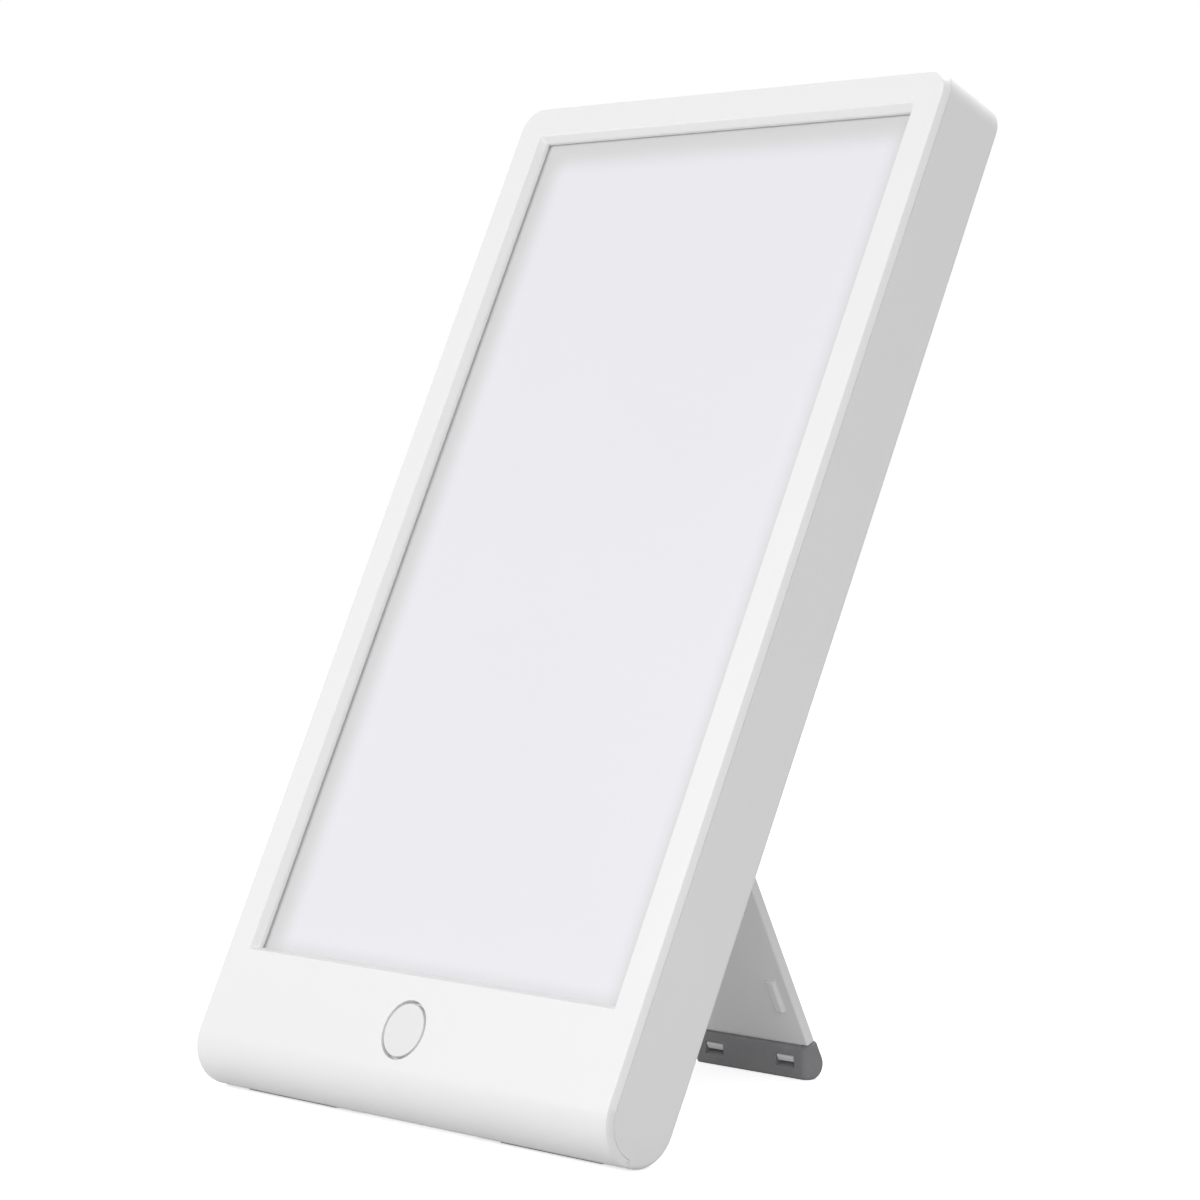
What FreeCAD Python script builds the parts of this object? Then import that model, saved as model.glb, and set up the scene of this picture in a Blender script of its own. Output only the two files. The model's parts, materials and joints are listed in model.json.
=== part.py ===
import FreeCAD, Part
import math
import os
import Sketcher
from types import SimpleNamespace

# Light therapy lamp: a flat panel that leans back on a fold-out leg.
#
# Lengths are in millimetres and angles in degrees. Every driving dimension is
# one row of DIMENSIONS and lands in the spreadsheet "Sizes"; sketches, pads,
# pockets and placements are bound to its cells by expressions.
#
# Panel frame, used by every piece of the housing: X to the right, Y up along
# the panel, Z out of the front. The front face is Z = 0, so a depth d behind
# it is Z = -d, and Y = 0 is the axis of the half-round bottom edge.
# Leg frame: the same directions with the leg folded flat, origin on the pivot.

DIMENSIONS = [
    ("panel_width", 160.0, "panel, side to side"),
    ("panel_height", 284.5, "panel, along its slope"),
    ("panel_depth", 22.0, "panel, front to back; the bottom edge is half-round"),
    ("corner_radius", 7.5, "top corners, seen from the front"),
    ("edge_bevel", 1.0, "bevel round the front edge, across the face"),
    ("edge_bevel_depth", 1.6, "bevel round the front edge, down the sides"),
    ("back_edge_radius", 1.2, "rounding of the back edge"),
    ("lean", 25.2, "panel leans back from vertical"),
    ("front_wall", 2.0, "front shell wall"),
    ("rear_wall", 2.0, "rear shell wall"),
    ("seam_depth", 1.75, "front face to the seam on the sides"),
    ("seam_angle", 88.0, "where the seam crosses the bottom round"),
    ("seam_gap", 0.1, "gap at the seam"),
    ("shell_fit", 0.15, "tongue of the front shell inside the rear shell"),
    ("tongue_wall", 1.4, "thickness of that tongue"),
    ("tongue_depth", 4.0, "front face to the tongue's end"),
    ("tongue_start", 2.0, "tongue begins above the axis of the bottom round"),
    ("lip_lap", 6.0, "bottom lip laps the seam, degrees"),
    ("window_border", 9.65, "frame beside and above the window"),
    ("chin_height", 34.2, "lowest edge to the window"),
    ("window_bevel", 1.3, "bevel of the window edge, across the face"),
    ("window_bevel_depth", 2.2, "bevel of the window edge, down towards the diffuser"),
    ("rim_width", 3.2, "rim that the gasket sits on"),
    ("diffuser_depth", 3.6, "front face to diffuser"),
    ("gasket_thickness", 0.5, "foam gasket"),
    ("gasket_width", 2.4, "foam gasket"),
    ("gasket_setback", 0.4, "foam stays behind the window's edge"),
    ("stack_overlap", 4.5, "light stack beyond the window, above and below"),
    ("diffuser_thickness", 1.5, "opal sheet"),
    ("guide_thickness", 3.0, "clear light guide"),
    ("reflector_thickness", 0.3, "white reflector sheet"),
    ("plate_thickness", 1.0, "aluminium back plate"),
    ("plate_gap", 0.3, "back plate to the rear shell's sides"),
    ("flange_rise", 4.2, "flange of the back plate, in front of it"),
    ("flange_stop", 9.0, "flange ends below the top corner"),
    ("tape_thickness", 0.2, "heat conducting tape"),
    ("strip_thickness", 1.0, "LED strip board"),
    ("strip_width", 3.6, "LED strip board"),
    ("strip_tail", 14.0, "strip runs down below the light stack"),
    ("led_height", 0.8, "LED, off the strip"),
    ("led_length", 3.5, "LED, along the strip"),
    ("led_breadth", 2.8, "LED, across the strip"),
    ("led_pitch", 8.0, "LED to LED"),
    ("led_gap", 0.3, "LED to light guide"),
    ("ear_width", 10.0, "screw ear of the back plate"),
    ("ear_place", 60.0, "screw ear, from the middle"),
    ("ear_drop", 3.5, "screw of the ear, below the light stack"),
    ("hook_place", 45.0, "top hooks over the back plate, from the middle"),
    ("hook_width", 8.0, "top hook"),
    ("hook_wall", 1.2, "top hook"),
    ("hook_gap", 0.2, "top hook to back plate"),
    ("hook_reach", 1.2, "top hook over the back plate"),
    ("barb_height", 0.6, "snap barb on the tongue"),
    ("barb_length", 8.0, "snap barb along the edge"),
    ("barb_width", 1.0, "snap barb, front to back"),
    ("barb_depth", 3.2, "front face to the middle of the snap barb"),
    ("barb_first", 62.0, "lowest snap barb"),
    ("barb_pitch", 70.0, "barb to barb"),
    ("barb_count", 3.0, "snap barbs on each side"),
    ("button_rise", 9.3, "button above the axis of the bottom round"),
    ("button_hole_radius", 7.7, "hole for the button"),
    ("button_gap", 0.45, "ring gap round the button"),
    ("button_flange", 1.3, "flange beyond the hole"),
    ("flange_wall", 0.8, "button flange"),
    ("button_rest", 0.1, "flange to the wall in front of it"),
    ("button_travel", 0.4, "how far the button moves"),
    ("button_skin", 1.4, "button face"),
    ("guide_rib_wall", 1.0, "ribs that guide the button flange"),
    ("guide_rib_width", 5.0, "ribs that guide the button flange"),
    ("guide_rib_gap", 0.25, "guide rib to flange"),
    ("plunger_radius", 1.7, "push switch"),
    ("plunger_gap", 0.1, "plunger in the switch body"),
    ("plunger_rise", 0.6, "plunger above the switch body"),
    ("plunger_depth", 1.6, "plunger inside the switch body"),
    ("stem_radius", 2.2, "stem behind the button face"),
    ("cap_wall", 1.0, "rim behind the button face"),
    ("switch_size", 6.2, "push switch body, square"),
    ("switch_height", 3.4, "push switch body"),
    ("board_depth", 8.0, "front face to control board"),
    ("board_thickness", 1.6, "control board"),
    ("board_width", 104.0, "control board"),
    ("board_height", 22.0, "control board"),
    ("board_drop", 4.5, "board below the axis of the bottom round"),
    ("board_post_place", 19.0, "board posts, from the middle"),
    ("board_post_inset", 3.0, "board posts, from the board's edge"),
    ("post_radius", 2.5, "small screw post"),
    ("small_core", 0.8, "small screw, core radius"),
    ("small_head", 1.9, "small screw, head radius"),
    ("small_head_height", 1.2, "small screw head"),
    ("small_length", 5.0, "small screw below its head"),
    ("thread_gap", 0.05, "screw core to its pilot hole"),
    ("pilot_room", 0.4, "pilot hole below the screw's tip"),
    ("pass_gap", 0.4, "screw core to a hole that it passes"),
    ("case_screw_place", 68.0, "case screw, from the middle"),
    ("case_screw_rise", 4.0, "case screw above the axis of the bottom round"),
    ("case_core", 1.3, "case screw, core radius"),
    ("case_head", 2.7, "case screw, head radius"),
    ("case_head_height", 1.8, "case screw head"),
    ("case_length", 11.0, "case screw below its head"),
    ("case_post_radius", 3.5, "post in the front shell"),
    ("case_post_end", 12.0, "front face to the end of that post"),
    ("post_gap", 0.1, "front post to the rear post"),
    ("counterbore_radius", 3.2, "screw well in the back"),
    ("counterbore_depth", 5.0, "screw well in the back"),
    ("well_wall", 1.5, "wall round the screw well"),
    ("press_place", 50.0, "ribs that press the back plate, from the middle"),
    ("press_first", 60.0, "lowest press rib"),
    ("press_pitch", 87.0, "press rib to press rib"),
    ("press_count", 3.0, "press ribs on each side"),
    ("press_width", 12.0, "press rib"),
    ("press_wall", 1.6, "press rib"),
    ("press_gap", 0.1, "press rib to back plate"),
    ("vent_count", 9.0, "cooling slots"),
    ("vent_pitch", 4.6, "cooling slots"),
    ("vent_width", 1.8, "cooling slots"),
    ("vent_length", 26.0, "cooling slots"),
    ("vent_rise", 232.0, "middle of the slots"),
    ("jack_place", 40.0, "power jack, from the middle"),
    ("jack_rise", 7.0, "power jack above the axis of the bottom round"),
    ("jack_size", 10.0, "power jack body, square"),
    ("jack_collar_radius", 6.3, "power jack collar"),
    ("jack_collar_height", 1.0, "power jack collar"),
    ("jack_gap", 0.2, "power jack to the back wall"),
    ("jack_bore_radius", 3.1, "power jack socket"),
    ("jack_bore_depth", 9.0, "power jack socket"),
    ("jack_pin_radius", 1.0, "power jack centre pin"),
    ("jack_hole_radius", 5.5, "hole in the back for the plug"),
    ("grip_angle", 22.0, "grip strip, degrees round the bottom"),
    ("grip_thickness", 1.25, "grip strip"),
    ("grip_proud", 0.25, "grip strip stands out of the shell"),
    ("grip_length", 36.0, "grip strip"),
    ("grip_place", 50.0, "grip strip, from the middle"),
    ("grip_gap", 0.1, "grip strip in its groove"),
    ("pivot_rise", 126.0, "leg pivot above the axis of the bottom round"),
    ("pivot_inset", 2.4, "leg pivot in front of the back face"),
    ("open_angle", 51.2, "leg opens to its stop"),
    ("leg_width", 42.8, "leg"),
    ("leg_thickness", 3.0, "leg"),
    ("leg_end", 124.7, "pivot to the leg's shoulder above the foot"),
    ("leg_heel", 3.3, "leg above its pivot"),
    ("leg_edge", 0.5, "rounded edges of the leg"),
    ("heel_radius", 0.8, "rounded heel"),
    ("pin_radius", 1.0, "hinge pin"),
    ("pin_gap", 0.05, "hinge pin in the leg"),
    ("pin_seat", 4.6, "hinge pin in each bearing"),
    ("pin_seat_gap", 0.01, "hinge pin in the bearings"),
    ("bearing_wall", 2.4, "bearing round the hinge pin"),
    ("washer_thickness", 0.4, "friction washer"),
    ("washer_radius", 2.2, "friction washer"),
    ("washer_gap", 0.05, "friction washer to its neighbours"),
    ("recess_gap", 0.4, "leg to the floor of its recess"),
    ("recess_wall", 2.0, "walls of the recess, inside the housing"),
    ("heel_gap", 0.15, "heel to its stop"),
    ("heel_room", 0.5, "recess above the swinging heel"),
    ("rib_place", 16.4, "snap rib on the leg, from the middle"),
    ("rib_width", 2.6, "snap rib"),
    ("rib_length", 9.6, "snap rib"),
    ("rib_start", 104.5, "pivot to snap rib"),
    ("rib_height", 1.3, "snap rib"),
    ("rib_edge", 0.3, "snap rib"),
    ("rib_gap", 0.3, "snap rib in its slot"),
    ("foot_width", 43.0, "rubber foot"),
    ("foot_top", 125.0, "pivot to the foot's upper edge"),
    ("foot_proud", 0.6, "foot stands out of the leg's outer face"),
    ("foot_step", 0.85, "foot stands in from the leg's inner face"),
    ("foot_heel_radius", 4.0, "outer lower edge of the foot"),
    ("foot_end_radius", 2.2, "inner upright edges of the foot"),
    ("foot_room", 0.5, "foot in its pocket"),
    ("tongue_width", 37.0, "leg's tongue inside the foot"),
    ("tongue_thickness", 1.8, "leg's tongue inside the foot"),
    ("tongue_inset", 0.8, "tongue below the leg's outer face"),
    ("tongue_length", 6.2, "leg's tongue inside the foot"),
    ("tongue_fit", 0.1, "leg's tongue in the foot"),
    ("catch_place", 13.4, "catches that hold the foot, from the middle"),
    ("catch_width", 6.2, "catch"),
    ("catch_drop", 2.7, "shoulder to catch"),
    ("catch_height", 1.8, "catch, along the leg"),
    ("catch_reach", 2.6, "catch, out of the tongue"),
    ("slot_width", 6.8, "foot's window round the catch"),
    ("slot_height", 3.0, "foot's window round the catch"),
    ("wire_radius", 0.65, "wires to the LED strips"),
    ("wire_rise", 11.0, "wires above the axis of the bottom round"),
    ("wire_spacing", 2.5, "red to black"),
    ("header_width", 6.5, "wire header"),
    ("header_height", 7.5, "wire header"),
    ("header_rise", 4.5, "wire header, off the board"),
    ("capacitor_radius", 3.15, "capacitors"),
    ("capacitor_height", 9.0, "capacitors"),
    ("capacitor_place", 29.0, "capacitors, from the middle"),
    ("inductor_size", 9.6, "inductor, square"),
    ("inductor_height", 5.6, "inductor"),
    ("inductor_corner", 1.0, "cut corners of the inductor"),
    ("chip_length", 4.9, "driver chip"),
    ("chip_width", 3.9, "driver chip"),
    ("chip_height", 1.5, "driver chip"),
    ("chip_place", 12.0, "driver chip, from the middle"),
    ("small_part_length", 2.0, "small surface parts"),
    ("small_part_width", 1.2, "small surface parts"),
    ("small_part_height", 0.6, "small surface parts"),
    ("small_part_pitch", 3.4, "small surface parts"),
    ("small_part_count", 6.0, "small surface parts"),
    ("small_part_rise", 10.9, "small surface parts above the axis of the bottom round"),
]


class Size:
    """A value now, and the spreadsheet formula that keeps it true."""

    def __init__(self, value, text):
        self.value = value
        self.text = text

    def __add__(self, other):
        other = size(other)
        return Size(self.value + other.value, f"({self.text} + {other.text})")

    def __sub__(self, other):
        other = size(other)
        return Size(self.value - other.value, f"({self.text} - {other.text})")

    def __mul__(self, other):
        other = size(other)
        return Size(self.value * other.value, f"({self.text} * {other.text})")

    def __truediv__(self, other):
        other = size(other)
        return Size(self.value / other.value, f"({self.text} / {other.text})")

    def __radd__(self, other):
        return size(other) + self

    def __rsub__(self, other):
        return size(other) - self

    def __rmul__(self, other):
        return size(other) * self

    def __neg__(self):
        return size(0) - self


def size(number):
    """A plain number as a Size."""
    if isinstance(number, Size):
        return number
    return Size(float(number), repr(float(number)))


def sine(angle):
    return Size(math.sin(math.radians(angle.value)), f"sin({angle.text})")


def cosine(angle):
    return Size(math.cos(math.radians(angle.value)), f"cos({angle.text})")


def root(area):
    return Size(math.sqrt(area.value), f"sqrt({area.text})")


def whole(amount):
    return Size(math.floor(amount.value), f"floor({amount.text})")


def steps_up(first, pitch, count):
    """Places in a row, one pitch apart."""
    return [first + step * pitch for step in range(round(count.value))]


DOC = FreeCAD.newDocument("light_therapy_lamp")
SHEET = DOC.addObject("Spreadsheet::Sheet", "Sizes")


def fill_sheet():
    """Write the driving dimensions and return them as Sizes by name."""
    found = {}
    for row, (alias, number, meaning) in enumerate(DIMENSIONS, start=1):
        SHEET.set(f"A{row}", meaning)
        SHEET.set(f"B{row}", str(number))
        SHEET.setAlias(f"B{row}", alias)
        found[alias] = Size(number, f"Sizes.{alias}")
    DOC.recompute()
    return SimpleNamespace(**found)


S = fill_sheet()
ZERO = size(0)
BEYOND = size(1)  # how far a cut runs past the face that it opens
SIDES = (-1, 1)

# ------------------------------------------------------------ panel and shells
HALF = S.panel_width / 2
ROUND = S.panel_depth / 2
TOP = S.panel_height - ROUND
REAR_FRONT = S.seam_depth + S.seam_gap
SEAM_STEP = S.seam_gap / ROUND * math.degrees(1)

WINDOW_HALF = HALF - S.window_border - S.window_bevel
WINDOW_LOW = S.chin_height - ROUND + S.window_bevel
WINDOW_HIGH = TOP - S.window_border - S.window_bevel
RIM_END = S.diffuser_depth - S.gasket_thickness

TONGUE_HALF = HALF - S.rear_wall - S.shell_fit
TONGUE_TOP = TOP - S.rear_wall - S.shell_fit
TONGUE_RADIUS = S.corner_radius - S.rear_wall - S.shell_fit
INNER_HALF = HALF - S.rear_wall
INNER_TOP = TOP - S.rear_wall
INNER_BACK = S.panel_depth - S.rear_wall
WALL_CORE = S.panel_depth - S.rear_wall / 2

# ----------------------------------------------------------------- light stack
STACK_LOW = WINDOW_LOW - S.stack_overlap
STACK_HIGH = WINDOW_HIGH + S.stack_overlap
GUIDE_DEPTH = S.diffuser_depth + S.diffuser_thickness
REFLECTOR_DEPTH = GUIDE_DEPTH + S.guide_thickness
PLATE_DEPTH = REFLECTOR_DEPTH + S.reflector_thickness
PLATE_BACK = PLATE_DEPTH + S.plate_thickness
PLATE_HALF = INNER_HALF - S.plate_gap
FLANGE_IN = PLATE_HALF - S.plate_thickness
FLANGE_TOP = STACK_HIGH - S.flange_stop
STRIP_BACK = FLANGE_IN - S.tape_thickness
STRIP_FACE = STRIP_BACK - S.strip_thickness
STRIP_DEPTH = PLATE_DEPTH - S.strip_width - S.tape_thickness
STRIP_LOW = STACK_LOW - S.strip_tail
LED_FACE = STRIP_FACE - S.led_height
LED_DEPTH = GUIDE_DEPTH + (S.guide_thickness - S.led_breadth) / 2
LED_COUNT = whole((FLANGE_TOP - STACK_LOW - S.led_length) / S.led_pitch)
STACK_HALF = LED_FACE - S.led_gap

# ------------------------------------------------------------- button and board
CAP_RADIUS = S.button_hole_radius - S.button_gap
FLANGE_RADIUS = S.button_hole_radius + S.button_flange
FLANGE_DEPTH = S.front_wall + S.button_rest
FLANGE_BACK = FLANGE_DEPTH + S.flange_wall
SWITCH_DEPTH = S.board_depth - S.switch_height
PLUNGER_TIP = SWITCH_DEPTH - S.plunger_rise
BOARD_BACK = S.board_depth + S.board_thickness
BOARD_HALF = S.board_width / 2
BOARD_LOW = -S.board_drop
BOARD_HIGH = BOARD_LOW + S.board_height
BOARD_POSTS = [(side * S.board_post_place, BOARD_HIGH - S.board_post_inset) for side in SIDES]
PLATE_POSTS = [(side * S.ear_place, STACK_LOW - S.ear_drop) for side in SIDES]
CASE_POSTS = [(side * S.case_screw_place, S.case_screw_rise) for side in SIDES]
WELL_FLOOR = S.panel_depth - S.counterbore_depth
BUTTON = [(ZERO, S.button_rise)]
JACK = [(-S.jack_place, S.jack_rise)]
JACK_FACE = INNER_BACK - S.jack_gap
JACK_FLOOR = JACK_FACE - S.jack_bore_depth

# ------------------------------------------------------------------- leg hinge
LEG_HALF = S.leg_width / 2
LEG_INNER = S.leg_thickness - S.pivot_inset
PIVOT_DEPTH = S.panel_depth - S.pivot_inset
RECESS_HALF = LEG_HALF + S.washer_thickness + 2 * S.washer_gap
RECESS_FLOOR = S.panel_depth - S.leg_thickness - S.recess_gap
HEEL_SWING = S.leg_heel * sine(S.open_angle) + LEG_INNER * cosine(S.open_angle)
HEEL_REACH = root(S.leg_heel * S.leg_heel + S.pivot_inset * S.pivot_inset)
CHANNEL_FLOOR = PIVOT_DEPTH - HEEL_SWING - S.heel_gap
CHANNEL_LOW = S.pivot_rise - S.pivot_inset - S.recess_gap
RECESS_TOP = S.pivot_rise + HEEL_REACH + S.heel_room
PIN_HALF = RECESS_HALF + S.pin_seat
PRESS_RISES = steps_up(S.press_first, S.press_pitch, S.press_count)
PRESS_RIBS = [(side * S.press_place, rise) for side in SIDES for rise in PRESS_RISES]
BARB_RISES = steps_up(S.barb_first, S.barb_pitch, S.barb_count)

# The standing leg's slope from vertical, and where its pivot stands from the
# axis of the bottom round.
LEG_SLOPE = S.open_angle - S.lean
CENTRE_HEIGHT = ROUND + S.grip_proud
PIVOT_BACK = ROUND - S.pivot_inset
PIVOT_HEIGHT = CENTRE_HEIGHT + S.pivot_rise * cosine(S.lean) - PIVOT_BACK * sine(S.lean)
PIVOT_REACH = S.pivot_rise * sine(S.lean) + PIVOT_BACK * cosine(S.lean)

# The foot in the leg frame. Its inner face stands upright and its sole lies
# flat on the floor when the leg is open, whatever the lean and the angle.
FOOT_HALF = S.foot_width / 2
FOOT_OUT = -S.pivot_inset - S.foot_proud
FOOT_IN = LEG_INNER + S.foot_step
FOOT_HEIGHT = PIVOT_HEIGHT - S.foot_top * cosine(LEG_SLOPE) - FOOT_IN * sine(LEG_SLOPE)
TOE_DOWN = S.foot_top + FOOT_HEIGHT * cosine(LEG_SLOPE)
TOE_IN = FOOT_IN + FOOT_HEIGHT * sine(LEG_SLOPE)
FOOT_DOWN = (PIVOT_HEIGHT - FOOT_OUT * sine(LEG_SLOPE)) / cosine(LEG_SLOPE)
TONGUE_OUT = S.pivot_inset - S.tongue_inset
TONGUE_IN = TONGUE_OUT - S.tongue_thickness
TONGUE_END = S.leg_end + S.tongue_length
CATCH_TOP = S.leg_end + S.catch_drop
POCKET_HALF = FOOT_HALF + S.recess_gap
POCKET_TOP = S.pivot_rise - S.foot_top + S.foot_room
POCKET_FLOOR = PIVOT_DEPTH - TOE_IN - S.foot_room

# The model's origin lies on the floor, under the middle of the whole lamp.
EDGE = S.back_edge_radius
BACK_REACH = (TOP - EDGE) * sine(S.lean) + (ROUND - EDGE) * cosine(S.lean) + EDGE
CENTRE_SHIFT = (ROUND - BACK_REACH) / 2
PANEL_SHIFT = CENTRE_SHIFT - ROUND * cosine(S.lean)
PANEL_RISE = CENTRE_HEIGHT + ROUND * sine(S.lean)
PANEL_TURN = 90 - S.lean


# ------------------------------------------------------------ drawing helpers
def new_body(label, shift=PANEL_SHIFT, rise=PANEL_RISE, turn=PANEL_TURN):
    """A body that stands in the model: turned about X, then moved in Y and Z."""
    body = DOC.addObject("PartDesign::Body", label)
    body.Label = label
    base = f"vector(0; {shift.text}; {rise.text})"
    body.setExpression("Placement", f"placement({base}; rotation(vector(1; 0; 0); {turn.text}))")
    return body


def new_leg_body(label):
    """A body that stands with the open leg."""
    return new_body(label, CENTRE_SHIFT + PIVOT_REACH, PIVOT_HEIGHT, PANEL_TURN + S.open_angle)


def new_sketch(body, role, offset):
    """An empty sketch on one of the body's own planes, moved along its normal."""
    drawing = body.newObject("Sketcher::SketchObject", body.Name + "_sketch")
    origin_plane = next(item for item in body.Origin.OriginFeatures if item.Role == role)
    drawing.AttachmentSupport = [(origin_plane, "")]
    drawing.MapMode = "FlatFace"
    drawing.setExpression("AttachmentOffset.Base.z", offset.text)
    return drawing


def hold(drawing, rules):
    """Add constraints; each rule is a constraint and the Size that drives it, or None."""
    first = drawing.ConstraintCount
    drawing.addConstraint([rule for rule, driver in rules])
    for number, (rule, driver) in enumerate(rules):
        if driver is not None:
            drawing.setExpression(f"Constraints[{first + number}]", driver.text)


def from_origin(geometry, end, x, y):
    """Rules that place a sketch point from the sketch's origin."""
    return [
        (Sketcher.Constraint("DistanceX", -1, 1, geometry, end, x.value), x),
        (Sketcher.Constraint("DistanceY", -1, 1, geometry, end, y.value), y),
    ]


def bend(point, centre, clockwise=False):
    """A step of an outline that reaches its point on an arc about a centre."""
    return SimpleNamespace(point=point, centre=centre, clockwise=clockwise)


def straight(point):
    return SimpleNamespace(point=point, centre=None, clockwise=False)


def flat(point):
    return FreeCAD.Vector(point[0].value, point[1].value, 0)


def arc(start, step):
    """The arc from a start point to a step's point; sketches keep it anticlockwise."""
    centre = flat(step.centre)
    ends = [flat(start), flat(step.point)]
    if step.clockwise:
        ends.reverse()
    low, high = (math.atan2(end.y - centre.y, end.x - centre.x) for end in ends)
    circle = Part.Circle(centre, FreeCAD.Vector(0, 0, 1), (ends[0] - centre).Length)
    return Part.ArcOfCircle(circle, low, high if high > low else high + 2 * math.pi)


def outline(drawing, steps):
    """A closed loop. Each step is a point, or a bend that reaches its point on an arc."""
    steps = [straight(step) if isinstance(step, tuple) else step for step in steps]
    first = drawing.GeometryCount
    rules = []
    for number, step in enumerate(steps):
        start = steps[number - 1].point
        before = first + (number - 1) % len(steps)
        head, tail = (1, 2) if step.clockwise else (2, 1)
        if step.centre is None:
            geometry = drawing.addGeometry(Part.LineSegment(flat(start), flat(step.point)))
        else:
            geometry = drawing.addGeometry(arc(start, step))
            chord = flat(step.point) - flat(start)
            axis = "DistanceX" if abs(chord.y) > abs(chord.x) else "DistanceY"
            amount = step.centre[0] if axis == "DistanceX" else step.centre[1]
            rules.append((Sketcher.Constraint(axis, -1, 1, geometry, 3, amount.value), amount))
        rules += from_origin(geometry, head, *step.point)
        before_head = 1 if steps[number - 1].clockwise else 2
        rules.append((Sketcher.Constraint("Coincident", before, before_head, geometry, tail), None))
    hold(drawing, rules)


def circles(drawing, centres, radius):
    for x, y in centres:
        middle = FreeCAD.Vector(x.value, y.value, 0)
        ring = Part.Circle(middle, FreeCAD.Vector(0, 0, 1), radius.value)
        geometry = drawing.addGeometry(ring)
        rules = from_origin(geometry, 3, x, y)
        rules.append((Sketcher.Constraint("Radius", geometry, radius.value), radius))
        hold(drawing, rules)


def box(left, right, low, high):
    """The outline of a rectangle."""
    return [(left, low), (right, low), (right, high), (left, high)]


def middle_box(x, y, width, height):
    """The outline of a rectangle about its middle."""
    return box(x - width / 2, x + width / 2, y - height / 2, y + height / 2)


def arch(half, low, high, radius):
    """A rectangle whose two upper corners are round."""
    knee = high - radius
    return [
        (-half, low),
        (half, low),
        (half, knee),
        bend((half - radius, high), (half - radius, knee)),
        (radius - half, high),
        bend((-half, knee), (radius - half, knee)),
    ]


def round_point(radius, angle):
    """A point about the axis of the bottom round, the angle counted from the front."""
    return (-radius * sine(angle), radius * cosine(angle) - ROUND)


def sector(inner, outer, start, end):
    """A stretch of a ring about the axis of the bottom round."""
    axis = (ZERO, -ROUND)
    return [
        round_point(outer, start),
        bend(round_point(outer, end), axis),
        round_point(inner, end),
        bend(round_point(inner, start), axis, clockwise=True),
    ]


# ------------------------------------------------------------ feature helpers
def solid_step(body, kind, drawing, length, backwards):
    """Pad or pocket a sketch, and make sure that it changed the solid the right way."""
    before = body.Shape.Volume if body.Tip else 0
    item = body.newObject("PartDesign::" + kind, body.Name + "_" + kind)
    item.Profile = drawing
    item.setExpression("Length", length.text)
    item.Reversed = backwards if kind == "Pad" else not backwards
    body.Tip = item
    DOC.recompute()
    change = body.Shape.Volume - before
    if change == 0 or (change > 0) != (kind == "Pad"):
        raise ValueError(f"{item.Name} changes its body's volume by {change:.3f}")
    return item


def facing(body, kind, loops, near, far):
    """A pad or pocket between two depths behind the front face."""
    drawing = new_sketch(body, "XY_Plane", -near)
    for steps in loops:
        outline(drawing, steps)
    return solid_step(body, kind, drawing, far - near, True)


def rods(body, kind, centres, radii, near, far):
    """Round posts, holes or rings between two depths behind the front face."""
    drawing = new_sketch(body, "XY_Plane", -near)
    for radius in radii:
        circles(drawing, centres, radius)
    return solid_step(body, kind, drawing, far - near, True)


def across(body, kind, steps, left, right):
    """A pad or pocket of a side outline, from left to right."""
    drawing = new_sketch(body, "YZ_Plane", left)
    outline(drawing, steps)
    return solid_step(body, kind, drawing, right - left, False)


def axle(body, kind, centre, radii, left, right):
    """A round bar, hole or ring along X, from left to right."""
    drawing = new_sketch(body, "YZ_Plane", left)
    for radius in radii:
        circles(drawing, [centre], radius)
    return solid_step(body, kind, drawing, right - left, False)


def soften(body, kind, amount, wanted, down=None):
    """Fillet or chamfer the edges that wanted() picks; down is a chamfer's other side."""
    base = body.Tip
    names = []
    for number, edge in enumerate(base.Shape.Edges, start=1):
        if wanted(edge.discretize(5)):
            names.append(f"Edge{number}")
    item = body.newObject("PartDesign::" + kind, body.Name + "_" + kind)
    item.Base = (base, names)
    item.setExpression("Radius" if kind == "Fillet" else "Size", amount.text)
    if down:
        item.ChamferType = "Two distances"
        item.setExpression("Size", down.text)
        item.setExpression("Size2", amount.text)
    body.Tip = item
    DOC.recompute()
    return item


def spread(body, original, axis, pitch, count):
    """Repeat a feature along an axis of its sketch."""
    item = body.newObject("PartDesign::LinearPattern", body.Name + "_pattern")
    item.Originals = [original]
    item.Direction = (original.Profile[0], [axis])
    item.Mode = "Spacing"
    item.setExpression("Offset", pitch.text)
    item.setExpression("Occurrences", count.text)
    body.Tip = item
    DOC.recompute()
    return item


def close(first, second):
    return abs(first - second) < 0.01


def all_at(points, **places):
    """Whether every point has these coordinates; a name ending in _abs ignores the sign."""
    for name, amount in places.items():
        for point in points:
            found = getattr(point, name[0])
            found = abs(found) if name.endswith("_abs") else found
            if not close(found, amount.value):
                return False
    return True


def on_round(points):
    """Whether every point lies on the bottom round."""
    return all(close(math.hypot(point.y, point.z + ROUND.value), ROUND.value) for point in points)


def outer_edge(points, depth):
    """Whether an edge belongs to the panel's outer edge at this depth or on its bottom round."""
    if all_at(points, x_abs=HALF) and on_round(points):
        return True
    window_edge = max(abs(point.x) for point in points) < WINDOW_HALF.value + 1
    return all_at(points, z=-depth) and not window_edge and not all_at(points, y=ZERO)


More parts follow.
